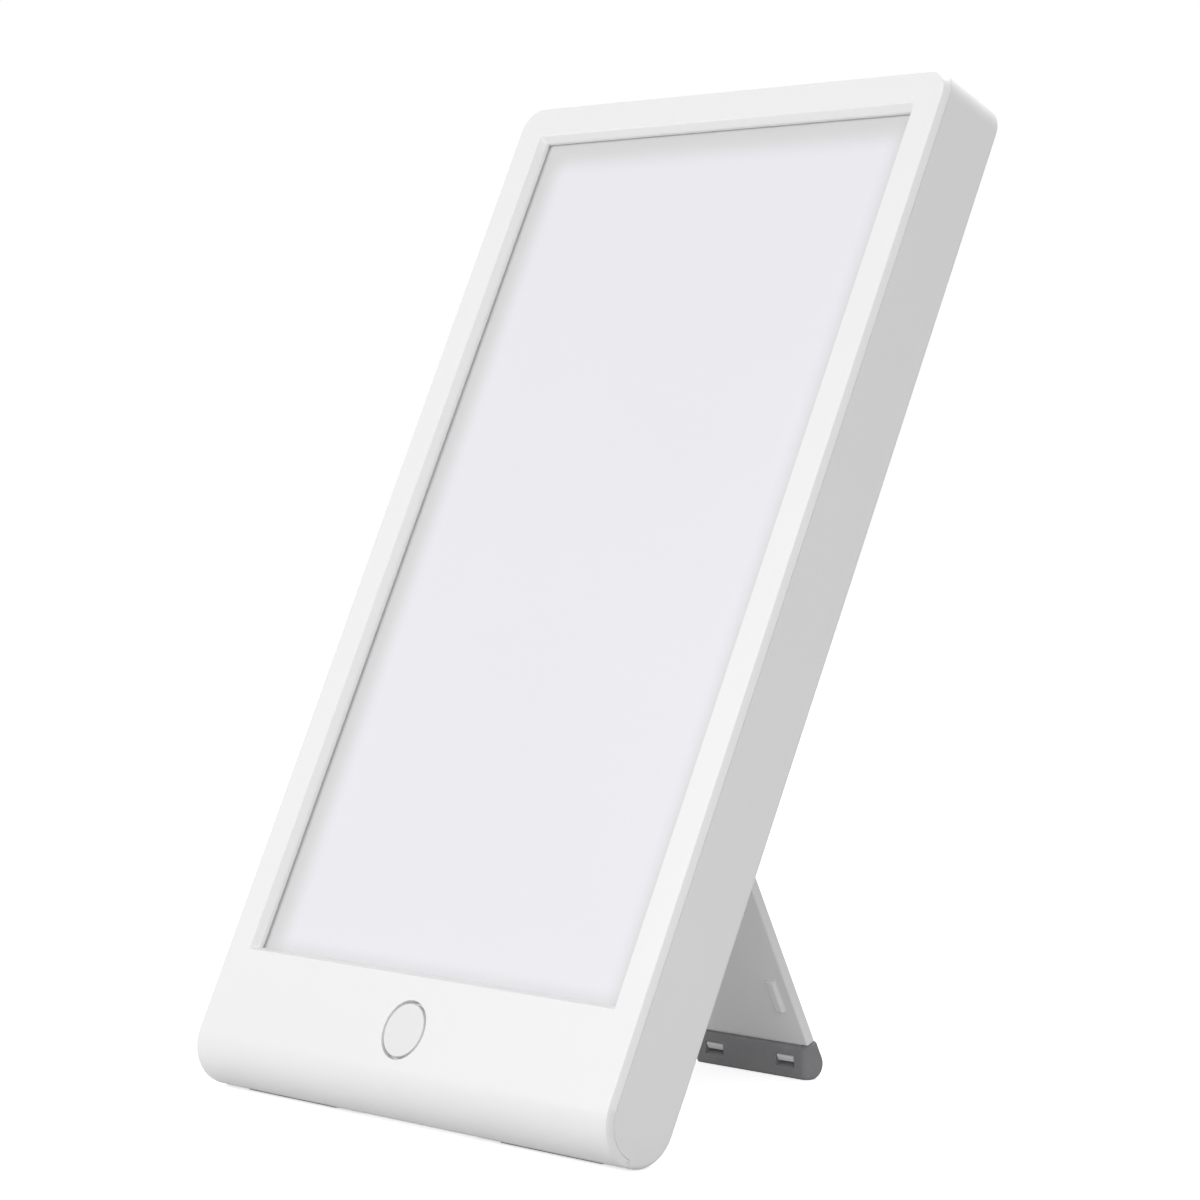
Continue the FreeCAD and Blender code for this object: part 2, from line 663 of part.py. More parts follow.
# ---------------------------------------------------------------- the housing
def front_shell():
    """Bezel, window frame and chin, wrapped round the bottom edge down to the seam."""
    body = new_body("front_shell")
    facing(body, "Pad", [arch(HALF, ZERO, TOP, S.corner_radius)], ZERO, S.seam_depth)
    skin = sector(ROUND - S.seam_depth, ROUND, ZERO, S.seam_angle)
    across(body, "Pad", skin, -HALF, HALF)
    down = S.edge_bevel_depth
    soften(body, "Chamfer", S.edge_bevel, lambda points: outer_edge(points, ZERO), down)

    # The full wall, inset so that it fits inside the rear shell.
    core = S.seam_depth / 2
    inset = arch(TONGUE_HALF, ZERO, TONGUE_TOP, TONGUE_RADIUS)
    facing(body, "Pad", [inset], core, S.front_wall)
    wall = sector(ROUND - S.front_wall, ROUND - core, ZERO, S.seam_angle)
    across(body, "Pad", wall, -TONGUE_HALF, TONGUE_HALF)

    # A tongue up both sides and over the top, and a lip behind the bottom seam.
    outer = arch(TONGUE_HALF, S.tongue_start, TONGUE_TOP, TONGUE_RADIUS)
    facing(body, "Pad", [outer], core, S.tongue_depth)
    inner = arch(
        TONGUE_HALF - S.tongue_wall,
        S.tongue_start - BEYOND,
        TONGUE_TOP - S.tongue_wall,
        TONGUE_RADIUS - S.tongue_wall,
    )
    facing(body, "Pocket", [inner], S.front_wall, S.tongue_depth)
    lip_out = ROUND - S.rear_wall - S.shell_fit
    lip_in = lip_out - S.tongue_wall
    low, high = S.seam_angle - S.lip_lap, S.seam_angle + S.lip_lap
    across(body, "Pad", sector(lip_in, lip_out, low, high), -TONGUE_HALF, TONGUE_HALF)
    root_end = S.seam_angle - S.lip_lap / 2
    across(body, "Pad", sector(lip_in, ROUND - core, low, root_end), -TONGUE_HALF, TONGUE_HALF)

    window_frame(body)
    button_place(body)
    front_posts(body)
    top_hooks(body)
    snap_barbs(body)
    return body


def window_frame(body):
    """The rim behind the window, the window itself and its bevel."""
    rim = box(
        -WINDOW_HALF - S.rim_width,
        WINDOW_HALF + S.rim_width,
        WINDOW_LOW - S.rim_width,
        WINDOW_HIGH + S.rim_width,
    )
    facing(body, "Pad", [rim], S.seam_depth / 2, RIM_END)
    window = box(-WINDOW_HALF, WINDOW_HALF, WINDOW_LOW, WINDOW_HIGH)
    facing(body, "Pocket", [window], ZERO, RIM_END)

    def window_edge(points):
        if not all_at(points, z=ZERO):
            return False
        upright = all_at(points, x_abs=WINDOW_HALF)
        return upright or all_at(points, y=WINDOW_LOW) or all_at(points, y=WINDOW_HIGH)

    soften(body, "Chamfer", S.window_bevel, window_edge, S.window_bevel_depth)


def button_place(body):
    """The hole for the button, and four ribs behind it that guide the flange."""
    rods(body, "Pocket", BUTTON, [S.button_hole_radius], ZERO, S.front_wall)
    x, y = BUTTON[0]
    reach = FLANGE_RADIUS + S.guide_rib_gap + S.guide_rib_wall / 2
    ribs = [middle_box(x + side * reach, y, S.guide_rib_wall, S.guide_rib_width) for side in SIDES]
    ribs += [middle_box(x, y + side * reach, S.guide_rib_width, S.guide_rib_wall) for side in SIDES]
    facing(body, "Pad", ribs, S.seam_depth / 2, FLANGE_BACK + 2 * S.button_travel)


def front_posts(body):
    """Posts for the board, the back plate and the case screws, with their pilot holes."""
    start = S.seam_depth / 2
    small_tip = S.small_length + S.pilot_room
    small_pilot = S.small_core + S.thread_gap
    rods(body, "Pad", BOARD_POSTS, [S.post_radius], start, S.board_depth)
    rods(body, "Pocket", BOARD_POSTS, [small_pilot], BOARD_BACK - small_tip, S.board_depth)
    rods(body, "Pad", PLATE_POSTS, [S.post_radius], start, PLATE_DEPTH)
    rods(body, "Pocket", PLATE_POSTS, [small_pilot], PLATE_BACK - small_tip, PLATE_DEPTH)
    case_tip = WELL_FLOOR - S.case_length - S.pilot_room
    rods(body, "Pad", CASE_POSTS, [S.case_post_radius], start, S.case_post_end)
    rods(body, "Pocket", CASE_POSTS, [S.case_core + S.thread_gap], case_tip, S.case_post_end)


def top_hooks(body):
    """Two hooks that the top of the back plate slides under."""
    inside = STACK_HIGH + S.hook_gap
    under = PLATE_BACK + S.hook_gap
    steps = [
        (inside, -S.seam_depth / 2),
        (inside, -under),
        (STACK_HIGH - S.hook_reach, -under),
        (STACK_HIGH - S.hook_reach, -under - S.hook_wall),
        (TONGUE_TOP - S.shell_fit, -under - S.hook_wall),
        (TONGUE_TOP - S.shell_fit, -S.seam_depth / 2),
    ]
    for side in SIDES:
        middle = side * S.hook_place
        across(body, "Pad", steps, middle - S.hook_width / 2, middle + S.hook_width / 2)


def barb_boxes(reach, slack):
    """Outlines of the snap barbs, from inside the tongue out to their reach."""
    length = S.barb_length / 2 + slack
    found = []
    for side in SIDES:
        inner, outer = side * (TONGUE_HALF - S.shell_fit), side * (TONGUE_HALF + reach)
        left, right = (outer, inner) if side < 0 else (inner, outer)
        for rise in BARB_RISES:
            found.append(box(left, right, rise - length, rise + length))
        middle = side * S.hook_place
        low, high = TONGUE_TOP - S.shell_fit, TONGUE_TOP + reach
        found.append(box(middle - length, middle + length, low, high))
    return found


def snap_barbs(body):
    """Barbs on the tongue that click into the rear shell's sides and top."""
    near = S.barb_depth - S.barb_width / 2
    facing(body, "Pad", barb_boxes(S.barb_height, ZERO), near, near + S.barb_width)


def rear_shell():
    """Tub with sides, top and back, the leg's recess, its bearings and the screw wells."""
    body = new_body("rear_shell")
    facing(body, "Pad", [arch(HALF, ZERO, TOP, S.corner_radius)], REAR_FRONT, S.panel_depth)
    axis = (ZERO, -ROUND)
    seam = S.seam_angle + SEAM_STEP
    bottom = [
        (ZERO, -REAR_FRONT),
        bend(round_point(ROUND - REAR_FRONT, seam), axis),
        round_point(ROUND, seam),
        bend((ZERO, -S.panel_depth), axis),
    ]
    across(body, "Pad", bottom, -HALF, HALF)
    soften(body, "Fillet", EDGE, lambda points: outer_edge(points, S.panel_depth))

    cavity = arch(INNER_HALF, ZERO, INNER_TOP, S.corner_radius - S.rear_wall)
    facing(body, "Pocket", [cavity], S.seam_depth, INNER_BACK)
    hollow = [
        (ZERO, -INNER_BACK),
        bend(round_point(ROUND - S.rear_wall, S.seam_angle), axis, clockwise=True),
        round_point(ROUND, S.seam_angle),
        bend((ZERO, ZERO), axis, clockwise=True),
    ]
    across(body, "Pocket", hollow, -INNER_HALF, INNER_HALF)

    recess_walls(body)
    rear_posts(body)
    recess_cuts(body)
    back_openings(body)
    grip_grooves(body)
    barb_slots(body)
    return body


def recess_walls(body):
    """The inside of the leg's recess: pan, heel channel, bearings and foot pocket."""
    wall = S.recess_wall
    half = RECESS_HALF + wall
    pan = box(-half, half, POCKET_TOP, RECESS_TOP + wall)
    facing(body, "Pad", [pan], RECESS_FLOOR - wall, WALL_CORE)
    channel = box(-half, half, CHANNEL_LOW - wall, RECESS_TOP + wall)
    facing(body, "Pad", [channel], CHANNEL_FLOOR - wall, WALL_CORE)
    grip = S.pin_radius + S.bearing_wall
    bearing = box(-PIN_HALF, PIN_HALF, S.pivot_rise - grip, S.pivot_rise + grip)
    facing(body, "Pad", [bearing], PIVOT_DEPTH - grip, WALL_CORE)
    skin = ROUND - S.rear_wall / 2
    front = POCKET_FLOOR - wall
    drop = root(skin * skin - (front - ROUND) * (front - ROUND))
    pocket = [
        (POCKET_TOP + wall, -front),
        (-drop, -front),
        bend((ZERO, -ROUND - skin), (ZERO, -ROUND)),
        (POCKET_TOP + wall, -ROUND - skin),
    ]
    across(body, "Pad", pocket, -POCKET_HALF - wall, POCKET_HALF + wall)


def rear_posts(body):
    """Screw posts in the corners, and ribs that press the back plate."""
    radius = S.counterbore_radius + S.well_wall
    rods(body, "Pad", CASE_POSTS, [radius], S.case_post_end + S.post_gap, WALL_CORE)
    ribs = [middle_box(*centre, S.press_width, S.press_wall) for centre in PRESS_RIBS]
    facing(body, "Pad", ribs, PLATE_BACK + S.press_gap, WALL_CORE)


def recess_cuts(body):
    """The leg's recess from outside: leg, heel, foot, snap rib slots and hinge pin."""
    back = S.panel_depth
    leg = box(-RECESS_HALF, RECESS_HALF, POCKET_TOP - BEYOND, RECESS_TOP)
    facing(body, "Pocket", [leg], RECESS_FLOOR, back)
    heel = box(-RECESS_HALF, RECESS_HALF, CHANNEL_LOW, RECESS_TOP)
    facing(body, "Pocket", [heel], CHANNEL_FLOOR, back)
    foot = box(-POCKET_HALF, POCKET_HALF, -ROUND - BEYOND, POCKET_TOP)
    facing(body, "Pocket", [foot], POCKET_FLOOR, back)
    slot_floor = PIVOT_DEPTH - LEG_INNER - S.rib_height - S.rib_gap
    high = S.pivot_rise - S.rib_start + S.rib_gap
    low = high - S.rib_length - 2 * S.rib_gap
    half = S.rib_width / 2 + S.rib_gap
    places = [side * S.rib_place for side in SIDES]
    slots = [box(place - half, place + half, low, high) for place in places]
    facing(body, "Pocket", slots, slot_floor, RECESS_FLOOR)
    pivot = (S.pivot_rise, -PIVOT_DEPTH)
    axle(body, "Pocket", pivot, [S.pin_radius + S.pin_seat_gap], -PIN_HALF, PIN_HALF)


def back_openings(body):
    """Screw wells, the hole for the power plug and the cooling slots."""
    rods(body, "Pocket", CASE_POSTS, [S.counterbore_radius], WELL_FLOOR, S.panel_depth)
    rods(body, "Pocket", CASE_POSTS, [S.case_core + S.pass_gap], S.case_post_end, WELL_FLOOR)
    rods(body, "Pocket", JACK, [S.jack_hole_radius], INNER_BACK, S.panel_depth)

    first = -S.vent_pitch * (S.vent_count - 1) / 2
    slot = middle_box(first, S.vent_rise, S.vent_width, S.vent_length)
    vent = facing(body, "Pocket", [slot], INNER_BACK, S.panel_depth)
    spread(body, vent, "H_Axis", S.vent_pitch, S.vent_count)


def grip_grooves(body):
    """Shallow grooves for the grip strips, where the bottom round meets the floor."""
    floor = ROUND + S.grip_proud - S.grip_thickness
    slack = S.grip_gap / ROUND * math.degrees(1)
    low = 90 + S.lean - S.grip_angle / 2 - slack
    high = 90 + S.lean + S.grip_angle / 2 + slack
    for side in SIDES:
        left = side * S.grip_place - S.grip_length / 2 - S.grip_gap
        right = side * S.grip_place + S.grip_length / 2 + S.grip_gap
        across(body, "Pocket", sector(floor, ROUND + BEYOND, low, high), left, right)


def barb_slots(body):
    """Slots in the sides and top that the snap barbs click into."""
    near = S.barb_depth - S.barb_width / 2 - S.shell_fit
    slots = barb_boxes(S.barb_height + S.shell_fit, S.shell_fit)
    facing(body, "Pocket", slots, near, near + S.barb_width + 2 * S.shell_fit)


def grip_strips():
    """Two rubber strips let into the bottom round."""
    body = new_body("grip_strips")
    inner = ROUND + S.grip_proud - S.grip_thickness
    low, high = 90 + S.lean - S.grip_angle / 2, 90 + S.lean + S.grip_angle / 2
    for side in SIDES:
        left = side * S.grip_place - S.grip_length / 2
        strip = sector(inner, ROUND + S.grip_proud, low, high)
        across(body, "Pad", strip, left, left + S.grip_length)
    return body


# ------------------------------------------------------------ the light stack
def sheet(label, near, far):
    """A flat sheet of the light stack."""
    body = new_body(label)
    facing(body, "Pad", [box(-STACK_HALF, STACK_HALF, STACK_LOW, STACK_HIGH)], near, far)
    return body


def window_gasket():
    """Foam frame between the window's rim and the diffuser."""
    body = new_body("window_gasket")
    loops = []
    for grow in (S.gasket_setback, S.gasket_setback + S.gasket_width):
        half = WINDOW_HALF + grow
        loops.append(box(-half, half, WINDOW_LOW - grow, WINDOW_HIGH + grow))
    facing(body, "Pad", loops, RIM_END, S.diffuser_depth)
    return body


def back_plate():
    """Folded aluminium plate that holds the stack and cools the LED strips."""
    body = new_body("back_plate")
    base = arch(PLATE_HALF, STACK_LOW, STACK_HIGH, S.corner_radius - S.rear_wall)
    facing(body, "Pad", [base], PLATE_DEPTH, PLATE_BACK)
    flanges = [
        box(-PLATE_HALF, -FLANGE_IN, STACK_LOW, FLANGE_TOP),
        box(FLANGE_IN, PLATE_HALF, STACK_LOW, FLANGE_TOP),
    ]
    facing(body, "Pad", flanges, PLATE_DEPTH - S.flange_rise, PLATE_BACK)
    half = S.ear_width / 2
    low = STACK_LOW - S.ear_drop - half
    places = [side * S.ear_place for side in SIDES]
    ears = [box(place - half, place + half, low, STACK_LOW + BEYOND) for place in places]
    facing(body, "Pad", ears, PLATE_DEPTH, PLATE_BACK)
    rods(body, "Pocket", PLATE_POSTS, [S.small_core + S.pass_gap], PLATE_DEPTH, PLATE_BACK)
    return body


def mirrored_span(side, inner, outer):
    """Left and right ends of a span that lies on one side of the middle."""
    return (-outer, -inner) if side < 0 else (inner, outer)


def thermal_tapes():
    """Heat conducting tape between each flange and its strip."""
    body = new_body("thermal_tapes")
    spans = [mirrored_span(side, STRIP_BACK, FLANGE_IN) for side in SIDES]
    loops = [box(left, right, STACK_LOW, FLANGE_TOP) for left, right in spans]
    facing(body, "Pad", loops, STRIP_DEPTH, STRIP_DEPTH + S.strip_width)
    return body


def led_strip(label, side):
    """Narrow board that carries one row of LEDs; its tail reaches into the chin."""
    body = new_body(label)
    left, right = mirrored_span(side, STRIP_FACE, STRIP_BACK)
    strip = box(left, right, STRIP_LOW, FLANGE_TOP)
    facing(body, "Pad", [strip], STRIP_DEPTH, STRIP_DEPTH + S.strip_width)
    return body


def led_row(label, side):
    """One row of LEDs that shine into the light guide's edge."""
    body = new_body(label)
    left, right = mirrored_span(side, LED_FACE, STRIP_FACE)
    spare = FLANGE_TOP - STACK_LOW - S.led_pitch * (LED_COUNT - 1) - S.led_length
    low = STACK_LOW + spare / 2
    led = box(left, right, low, low + S.led_length)
    first = facing(body, "Pad", [led], LED_DEPTH, LED_DEPTH + S.led_breadth)
    spread(body, first, "V_Axis", S.led_pitch, LED_COUNT)
    return body


# --------------------------------------------------------- button and board
def button_cap():
    """Round button, flush with the chin, hollow behind, with a flange and a stem."""
    body = new_body("button_cap")
    rods(body, "Pad", BUTTON, [CAP_RADIUS], ZERO, FLANGE_BACK)
    rods(body, "Pad", BUTTON, [FLANGE_RADIUS], FLANGE_DEPTH, FLANGE_BACK)
    hollow = [S.stem_radius, CAP_RADIUS - S.cap_wall]
    rods(body, "Pocket", BUTTON, hollow, S.button_skin, FLANGE_BACK)
    rods(body, "Pad", BUTTON, [S.stem_radius], S.button_skin, PLUNGER_TIP)
    return body


def switch_body():
    """Push switch on the board, with a well for its plunger."""
    body = new_body("switch_body")
    square = middle_box(*BUTTON[0], S.switch_size, S.switch_size)
    facing(body, "Pad", [square], SWITCH_DEPTH, S.board_depth)
    well = SWITCH_DEPTH + S.plunger_depth + S.button_travel + S.plunger_gap
    rods(body, "Pocket", BUTTON, [S.plunger_radius + S.plunger_gap], SWITCH_DEPTH, well)
    return body


def switch_plunger():
    body = new_body("switch_plunger")
    rods(body, "Pad", BUTTON, [S.plunger_radius], PLUNGER_TIP, SWITCH_DEPTH + S.plunger_depth)
    return body


def control_board():
    body = new_body("control_board")
    facing(body, "Pad", [box(-BOARD_HALF, BOARD_HALF, BOARD_LOW, BOARD_HIGH)], S.board_depth, BOARD_BACK)
    rods(body, "Pocket", BOARD_POSTS, [S.small_core + S.pass_gap], S.board_depth, BOARD_BACK)
    return body


def board_block(label, middles, length, width, height):
    """Square parts on the back of the board."""
    body = new_body(label)
    loops = [middle_box(*middle, length, width) for middle in middles]
    facing(body, "Pad", loops, BOARD_BACK, BOARD_BACK + height)
    return body


def inductor():
    place = (S.jack_place, S.jack_rise)
    body = board_block("inductor", [place], S.inductor_size, S.inductor_size, S.inductor_height)

    def upright(points):
        return close(points[0].x, points[-1].x) and close(points[0].y, points[-1].y)

    soften(body, "Chamfer", S.inductor_corner, upright)
    return body


def driver_chip():
    place = (S.chip_place, S.jack_rise)
    return board_block("driver_chip", [place], S.chip_length, S.chip_width, S.chip_height)


def surface_parts():
    """Resistors and diodes in a row on the back of the board."""
    body = new_body("surface_parts")
    first = -S.small_part_pitch * (S.small_part_count - 1) / 2
    part = middle_box(first, S.small_part_rise, S.small_part_length, S.small_part_width)
    pad = facing(body, "Pad", [part], BOARD_BACK, BOARD_BACK + S.small_part_height)
    spread(body, pad, "H_Axis", S.small_part_pitch, S.small_part_count)
    return body


def capacitors():
    body = new_body("capacitors")
    places = [(side * S.capacitor_place, S.jack_rise) for side in SIDES]
    rods(body, "Pad", places, [S.capacitor_radius], BOARD_BACK, BOARD_BACK + S.capacitor_height)
    return body


def wire_headers():
    """Headers at both ends of the board that the strip wires plug into."""
    body = new_body("wire_headers")
    low = S.wire_rise - S.header_height / 2
    loops = []
    for side in SIDES:
        left, right = mirrored_span(side, BOARD_HALF - S.header_width, BOARD_HALF)
        loops.append(box(left, right, low, low + S.header_height))
    facing(body, "Pad", loops, S.board_depth - S.header_rise, S.board_depth)
    return body


def dc_jack():
    """Upright power jack: square body, round collar behind the case's hole, socket."""
    body = new_body("dc_jack")
    square = middle_box(*JACK[0], S.jack_size, S.jack_size)
    facing(body, "Pad", [square], BOARD_BACK, JACK_FACE)
    collar_front = JACK_FACE - S.jack_collar_height
    rods(body, "Pad", JACK, [S.jack_collar_radius], collar_front, JACK_FACE)
    rods(body, "Pocket", JACK, [S.jack_bore_radius], JACK_FLOOR, JACK_FACE)
    return body


def jack_pin():
    """Centre contact of the power jack."""
    body = new_body("jack_pin")
    rods(body, "Pad", JACK, [S.jack_pin_radius], JACK_FLOOR, JACK_FACE - S.jack_collar_height)
    return body


def strip_wires(label, step):
    """A wire from each header to its strip."""
    body = new_body(label)
    centre = (S.wire_rise + step * S.wire_spacing / 2, S.header_rise / 2 - S.board_depth)
    for side in SIDES:
        left, right = mirrored_span(side, BOARD_HALF, STRIP_FACE)
        axle(body, "Pad", centre, [S.wire_radius], left, right)
    return body


# ------------------------------------------------------------------ fasteners
def small_screws(label, centres, seat):
    """Small pan head screws whose heads stand on the given depth."""
    body = new_body(label)
    rods(body, "Pad", centres, [S.small_core], seat - S.small_length, seat)
    rods(body, "Pad", centres, [S.small_head], seat, seat + S.small_head_height)
    return body


def case_screws():
    """Screws that close the case, sunk in the wells of the back."""
    body = new_body("case_screws")
    head = WELL_FLOOR + S.case_head_height
    rods(body, "Pad", CASE_POSTS, [S.case_core], WELL_FLOOR - S.case_length, WELL_FLOOR)
    rods(body, "Pad", CASE_POSTS, [S.case_head], WELL_FLOOR, head)
    return body


# -------------------------------------------------------------- hinge and leg
def hinge_pin():
    body = new_body("hinge_pin")
    pivot = (S.pivot_rise, -PIVOT_DEPTH)
    reach = PIN_HALF - S.heel_gap
    axle(body, "Pad", pivot, [S.pin_radius], -reach, reach)
    return body


def friction_washers():
    """A washer at each side of the leg that makes the hinge stiff."""
    body = new_body("friction_washers")
    pivot = (S.pivot_rise, -PIVOT_DEPTH)
    rings = [S.pin_radius + S.pin_gap, S.washer_radius]
    near = LEG_HALF + S.washer_gap
    for side in SIDES:
        left, right = mirrored_span(side, near, near + S.washer_thickness)
        axle(body, "Pad", pivot, rings, left, right)
    return body


def leg():
    """Flat leg with its knuckle, heel, snap ribs, and the tongue and catches for the foot."""
    body = new_leg_body("leg")
    plate = box(-LEG_HALF, LEG_HALF, -S.leg_end, S.leg_heel)
    facing(body, "Pad", [plate], -LEG_INNER, S.pivot_inset)

    def heel_edge(points):
        return all_at(points, y=S.leg_heel, z=-S.pivot_inset)

    soften(body, "Fillet", S.heel_radius, heel_edge)

    def long_edge(points):
        if not all_at(points, x_abs=LEG_HALF):
            return False
        return all_at(points, z=-S.pivot_inset) or all_at(points, z=LEG_INNER)

    soften(body, "Fillet", S.leg_edge, long_edge)

    knuckle_half = LEG_HALF - S.leg_edge
    axle(body, "Pad", (ZERO, ZERO), [S.pivot_inset], -knuckle_half, knuckle_half)
    axle(body, "Pocket", (ZERO, ZERO), [S.pin_radius + S.pin_gap], -LEG_HALF, LEG_HALF)

    inner_rib = LEG_INNER + S.rib_height
    half = S.rib_width / 2
    low = -S.rib_start - S.rib_length
    places = [side * S.rib_place for side in SIDES]
    ribs = [box(place - half, place + half, low, -S.rib_start) for place in places]
    facing(body, "Pad", ribs, -inner_rib, ZERO)
    soften(body, "Chamfer", S.rib_edge, lambda points: all_at(points, z=inner_rib))

    half = S.tongue_width / 2
    tongue = box(-half, half, -TONGUE_END, -S.leg_end + BEYOND)
    facing(body, "Pad", [tongue], TONGUE_IN, TONGUE_OUT)
    half = S.catch_width / 2
    low = -CATCH_TOP - S.catch_height
    places = [side * S.catch_place for side in SIDES]
    catches = [box(place - half, place + half, low, -CATCH_TOP) for place in places]
    facing(body, "Pad", catches, TONGUE_IN - S.catch_reach, TONGUE_OUT)
    return body


def foot_pad():
    """Rubber boot on the leg's tongue; two windows show the catches that hold it."""
    body = new_leg_body("foot_pad")
    side_view = [
        (-S.foot_top, FOOT_OUT),
        (-FOOT_DOWN, FOOT_OUT),
        (-TOE_DOWN, TOE_IN),
        (-S.foot_top, FOOT_IN),
    ]
    across(body, "Pad", side_view, -FOOT_HALF, FOOT_HALF)

    def upright_edge(points):
        ends = {round(points[0].y, 2), round(points[-1].y, 2)}
        wanted = {round(-S.foot_top.value, 2), round(-TOE_DOWN.value, 2)}
        return all_at(points, x_abs=FOOT_HALF) and ends == wanted

    soften(body, "Fillet", S.foot_end_radius, upright_edge)

    def heel_edge(points):
        return all_at(points, y=-FOOT_DOWN, z=FOOT_OUT)

    soften(body, "Fillet", S.foot_heel_radius, heel_edge)

    fit = S.tongue_fit
    half = S.tongue_width / 2 + fit
    pocket = box(-half, half, -TONGUE_END - fit, -S.foot_top + BEYOND)
    facing(body, "Pocket", [pocket], TONGUE_IN - fit, TONGUE_OUT + fit)
    half = S.slot_width / 2
    high = fit - CATCH_TOP
    places = [side * S.catch_place for side in SIDES]
    windows = [box(place - half, place + half, high - S.slot_height, high) for place in places]
    facing(body, "Pocket", windows, -TOE_IN - BEYOND, TONGUE_IN)
    return body


# ------------------------------------------------------------------- assembly
def build_all():
    """Build every sub-part of the lamp."""
    return [
        front_shell(),
        rear_shell(),
        grip_strips(),
        window_gasket(),
        sheet("diffuser", S.diffuser_depth, GUIDE_DEPTH),
        sheet("light_guide", GUIDE_DEPTH, REFLECTOR_DEPTH),
        sheet("reflector_sheet", REFLECTOR_DEPTH, PLATE_DEPTH),
        back_plate(),
        thermal_tapes(),
        led_strip("led_strip_left", -1),
        led_strip("led_strip_right", 1),
        led_row("leds_left", -1),
        led_row("leds_right", 1),
        button_cap(),
        switch_plunger(),
        switch_body(),
        control_board(),
        driver_chip(),
        inductor(),
        capacitors(),
        surface_parts(),
        wire_headers(),
        strip_wires("red_wires", -1),
        strip_wires("black_wires", 1),
        dc_jack(),
        jack_pin(),
        small_screws("plate_screws", PLATE_POSTS, PLATE_BACK),
        small_screws("board_screws", BOARD_POSTS, BOARD_BACK),
        case_screws(),
        hinge_pin(),
        friction_washers(),
        leg(),
        foot_pad(),
    ]


def check(parts):
    """Stop if any object failed or any sub-part is not a sound solid."""
    for item in DOC.Objects:
        if "Invalid" in item.State or "Error" in item.State:
            raise RuntimeError(f"{item.Name} failed: {item.State}")
    for part in parts:
        if part.Shape.isNull() or not part.Shape.isValid() or not part.Shape.Solids:
            raise RuntimeError(f"{part.Label} has no sound solid")


PARTS = build_all()
DOC.recompute()
check(PARTS)
os.makedirs("parts", exist_ok=True)
for sub_part in PARTS:
    sub_part.Shape.exportStep(f"parts/{sub_part.Label}.step")
    print(f"{sub_part.Label}: {len(sub_part.Shape.Solids)} solids, {sub_part.Shape.Volume:.1f} mm3")
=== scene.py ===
# %% [markdown]
# # A light therapy lamp, from plain solids to finished plastic
#
# The lamp is a slim white panel with a half-round lower edge, a sunk opal window and one round
# push button. It leans back on a narrow leg that folds out of its back and stands on a rubber
# boot. The solids of all its parts are built and packed already. This notebook loads them, gives
# the moulded pieces the soft edges of real mouldings, builds the small pieces that a solid model
# leaves plain, and gives every part the finish of its real material.

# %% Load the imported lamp
import json
import math

import bmesh
import bpy
from mathutils import Matrix, Vector


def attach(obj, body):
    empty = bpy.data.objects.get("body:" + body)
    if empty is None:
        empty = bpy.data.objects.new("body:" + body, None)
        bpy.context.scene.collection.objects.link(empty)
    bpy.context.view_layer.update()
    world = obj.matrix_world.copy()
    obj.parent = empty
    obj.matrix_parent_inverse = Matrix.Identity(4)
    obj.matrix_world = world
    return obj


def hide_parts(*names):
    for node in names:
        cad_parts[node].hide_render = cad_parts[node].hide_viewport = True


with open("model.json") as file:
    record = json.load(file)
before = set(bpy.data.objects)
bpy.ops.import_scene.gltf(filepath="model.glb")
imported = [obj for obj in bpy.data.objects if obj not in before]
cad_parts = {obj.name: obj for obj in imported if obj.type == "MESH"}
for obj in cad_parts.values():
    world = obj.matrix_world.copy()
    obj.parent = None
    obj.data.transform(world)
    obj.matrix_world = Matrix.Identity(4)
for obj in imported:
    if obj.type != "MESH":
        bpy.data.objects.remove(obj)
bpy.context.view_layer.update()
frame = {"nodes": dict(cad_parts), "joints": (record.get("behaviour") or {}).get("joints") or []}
solids = frame["nodes"]

# %% [markdown]
# ## Measuring along a leaning panel
#
# Everything on the panel is easiest to place in the panel's own directions: across it, up along
# its slope, and back through its thickness. The push button moves straight into the panel, so its
# joint already holds the lean, and the leg's joint holds the hinge. From these two, one matrix
# turns panel millimetres into the lamp's metres. Its three numbers are across, up, and forwards
# from the front face, so a point inside the panel has a negative third number.

# %% The panel's own directions
MM = 0.001
PANEL_DEPTH = 22.0
PANEL_HALF = 80.0
ROUND = PANEL_DEPTH / 2
PIVOT_UP = 126.0
PIVOT_INSET = 2.4

joints = {joint["name"]: joint for joint in frame["joints"]}
push = Vector(joints["button_press"]["axis"])
lean = math.atan2(-push.z, push.y)
pivot = Vector(joints["stand_fold"]["pos_m"])

upright = Matrix.Rotation(math.radians(90) - lean, 4, "X")
pivot_in_panel = Vector((0, PIVOT_UP, PIVOT_INSET - PANEL_DEPTH))
panel_start = pivot - (upright @ pivot_in_panel) * MM
PANEL = Matrix.Translation(panel_start) @ upright @ Matrix.Scale(MM, 4)
FROM_PANEL = PANEL.inverted()
print(f"the panel leans back by {math.degrees(lean):.1f} degrees")


def panel_box(name):
    """Lowest and highest corner of a solid, in panel millimetres."""
    points = [FROM_PANEL @ vert.co for vert in solids[name].data.vertices]
    columns = list(zip(*points))
    return Vector([min(column) for column in columns]), Vector([max(column) for column in columns])


# %% [markdown]
# ## The camera
#
# The lamp is seen from its right front, almost level, through a long lens, which keeps its two
# long sides nearly parallel. The camera comes first, because it decides which edges deserve the
# most work.

# %% Camera
CAMERA_PLACE = Vector((0.703509, -0.645660, 0.170394))
CAMERA_TURN = math.radians(47.337)
CAMERA_DROP = math.radians(2.483)
FOCAL_PIXELS = 3705.442
PICTURE_PIXELS = 1200
SENSOR_WIDTH = 36.0

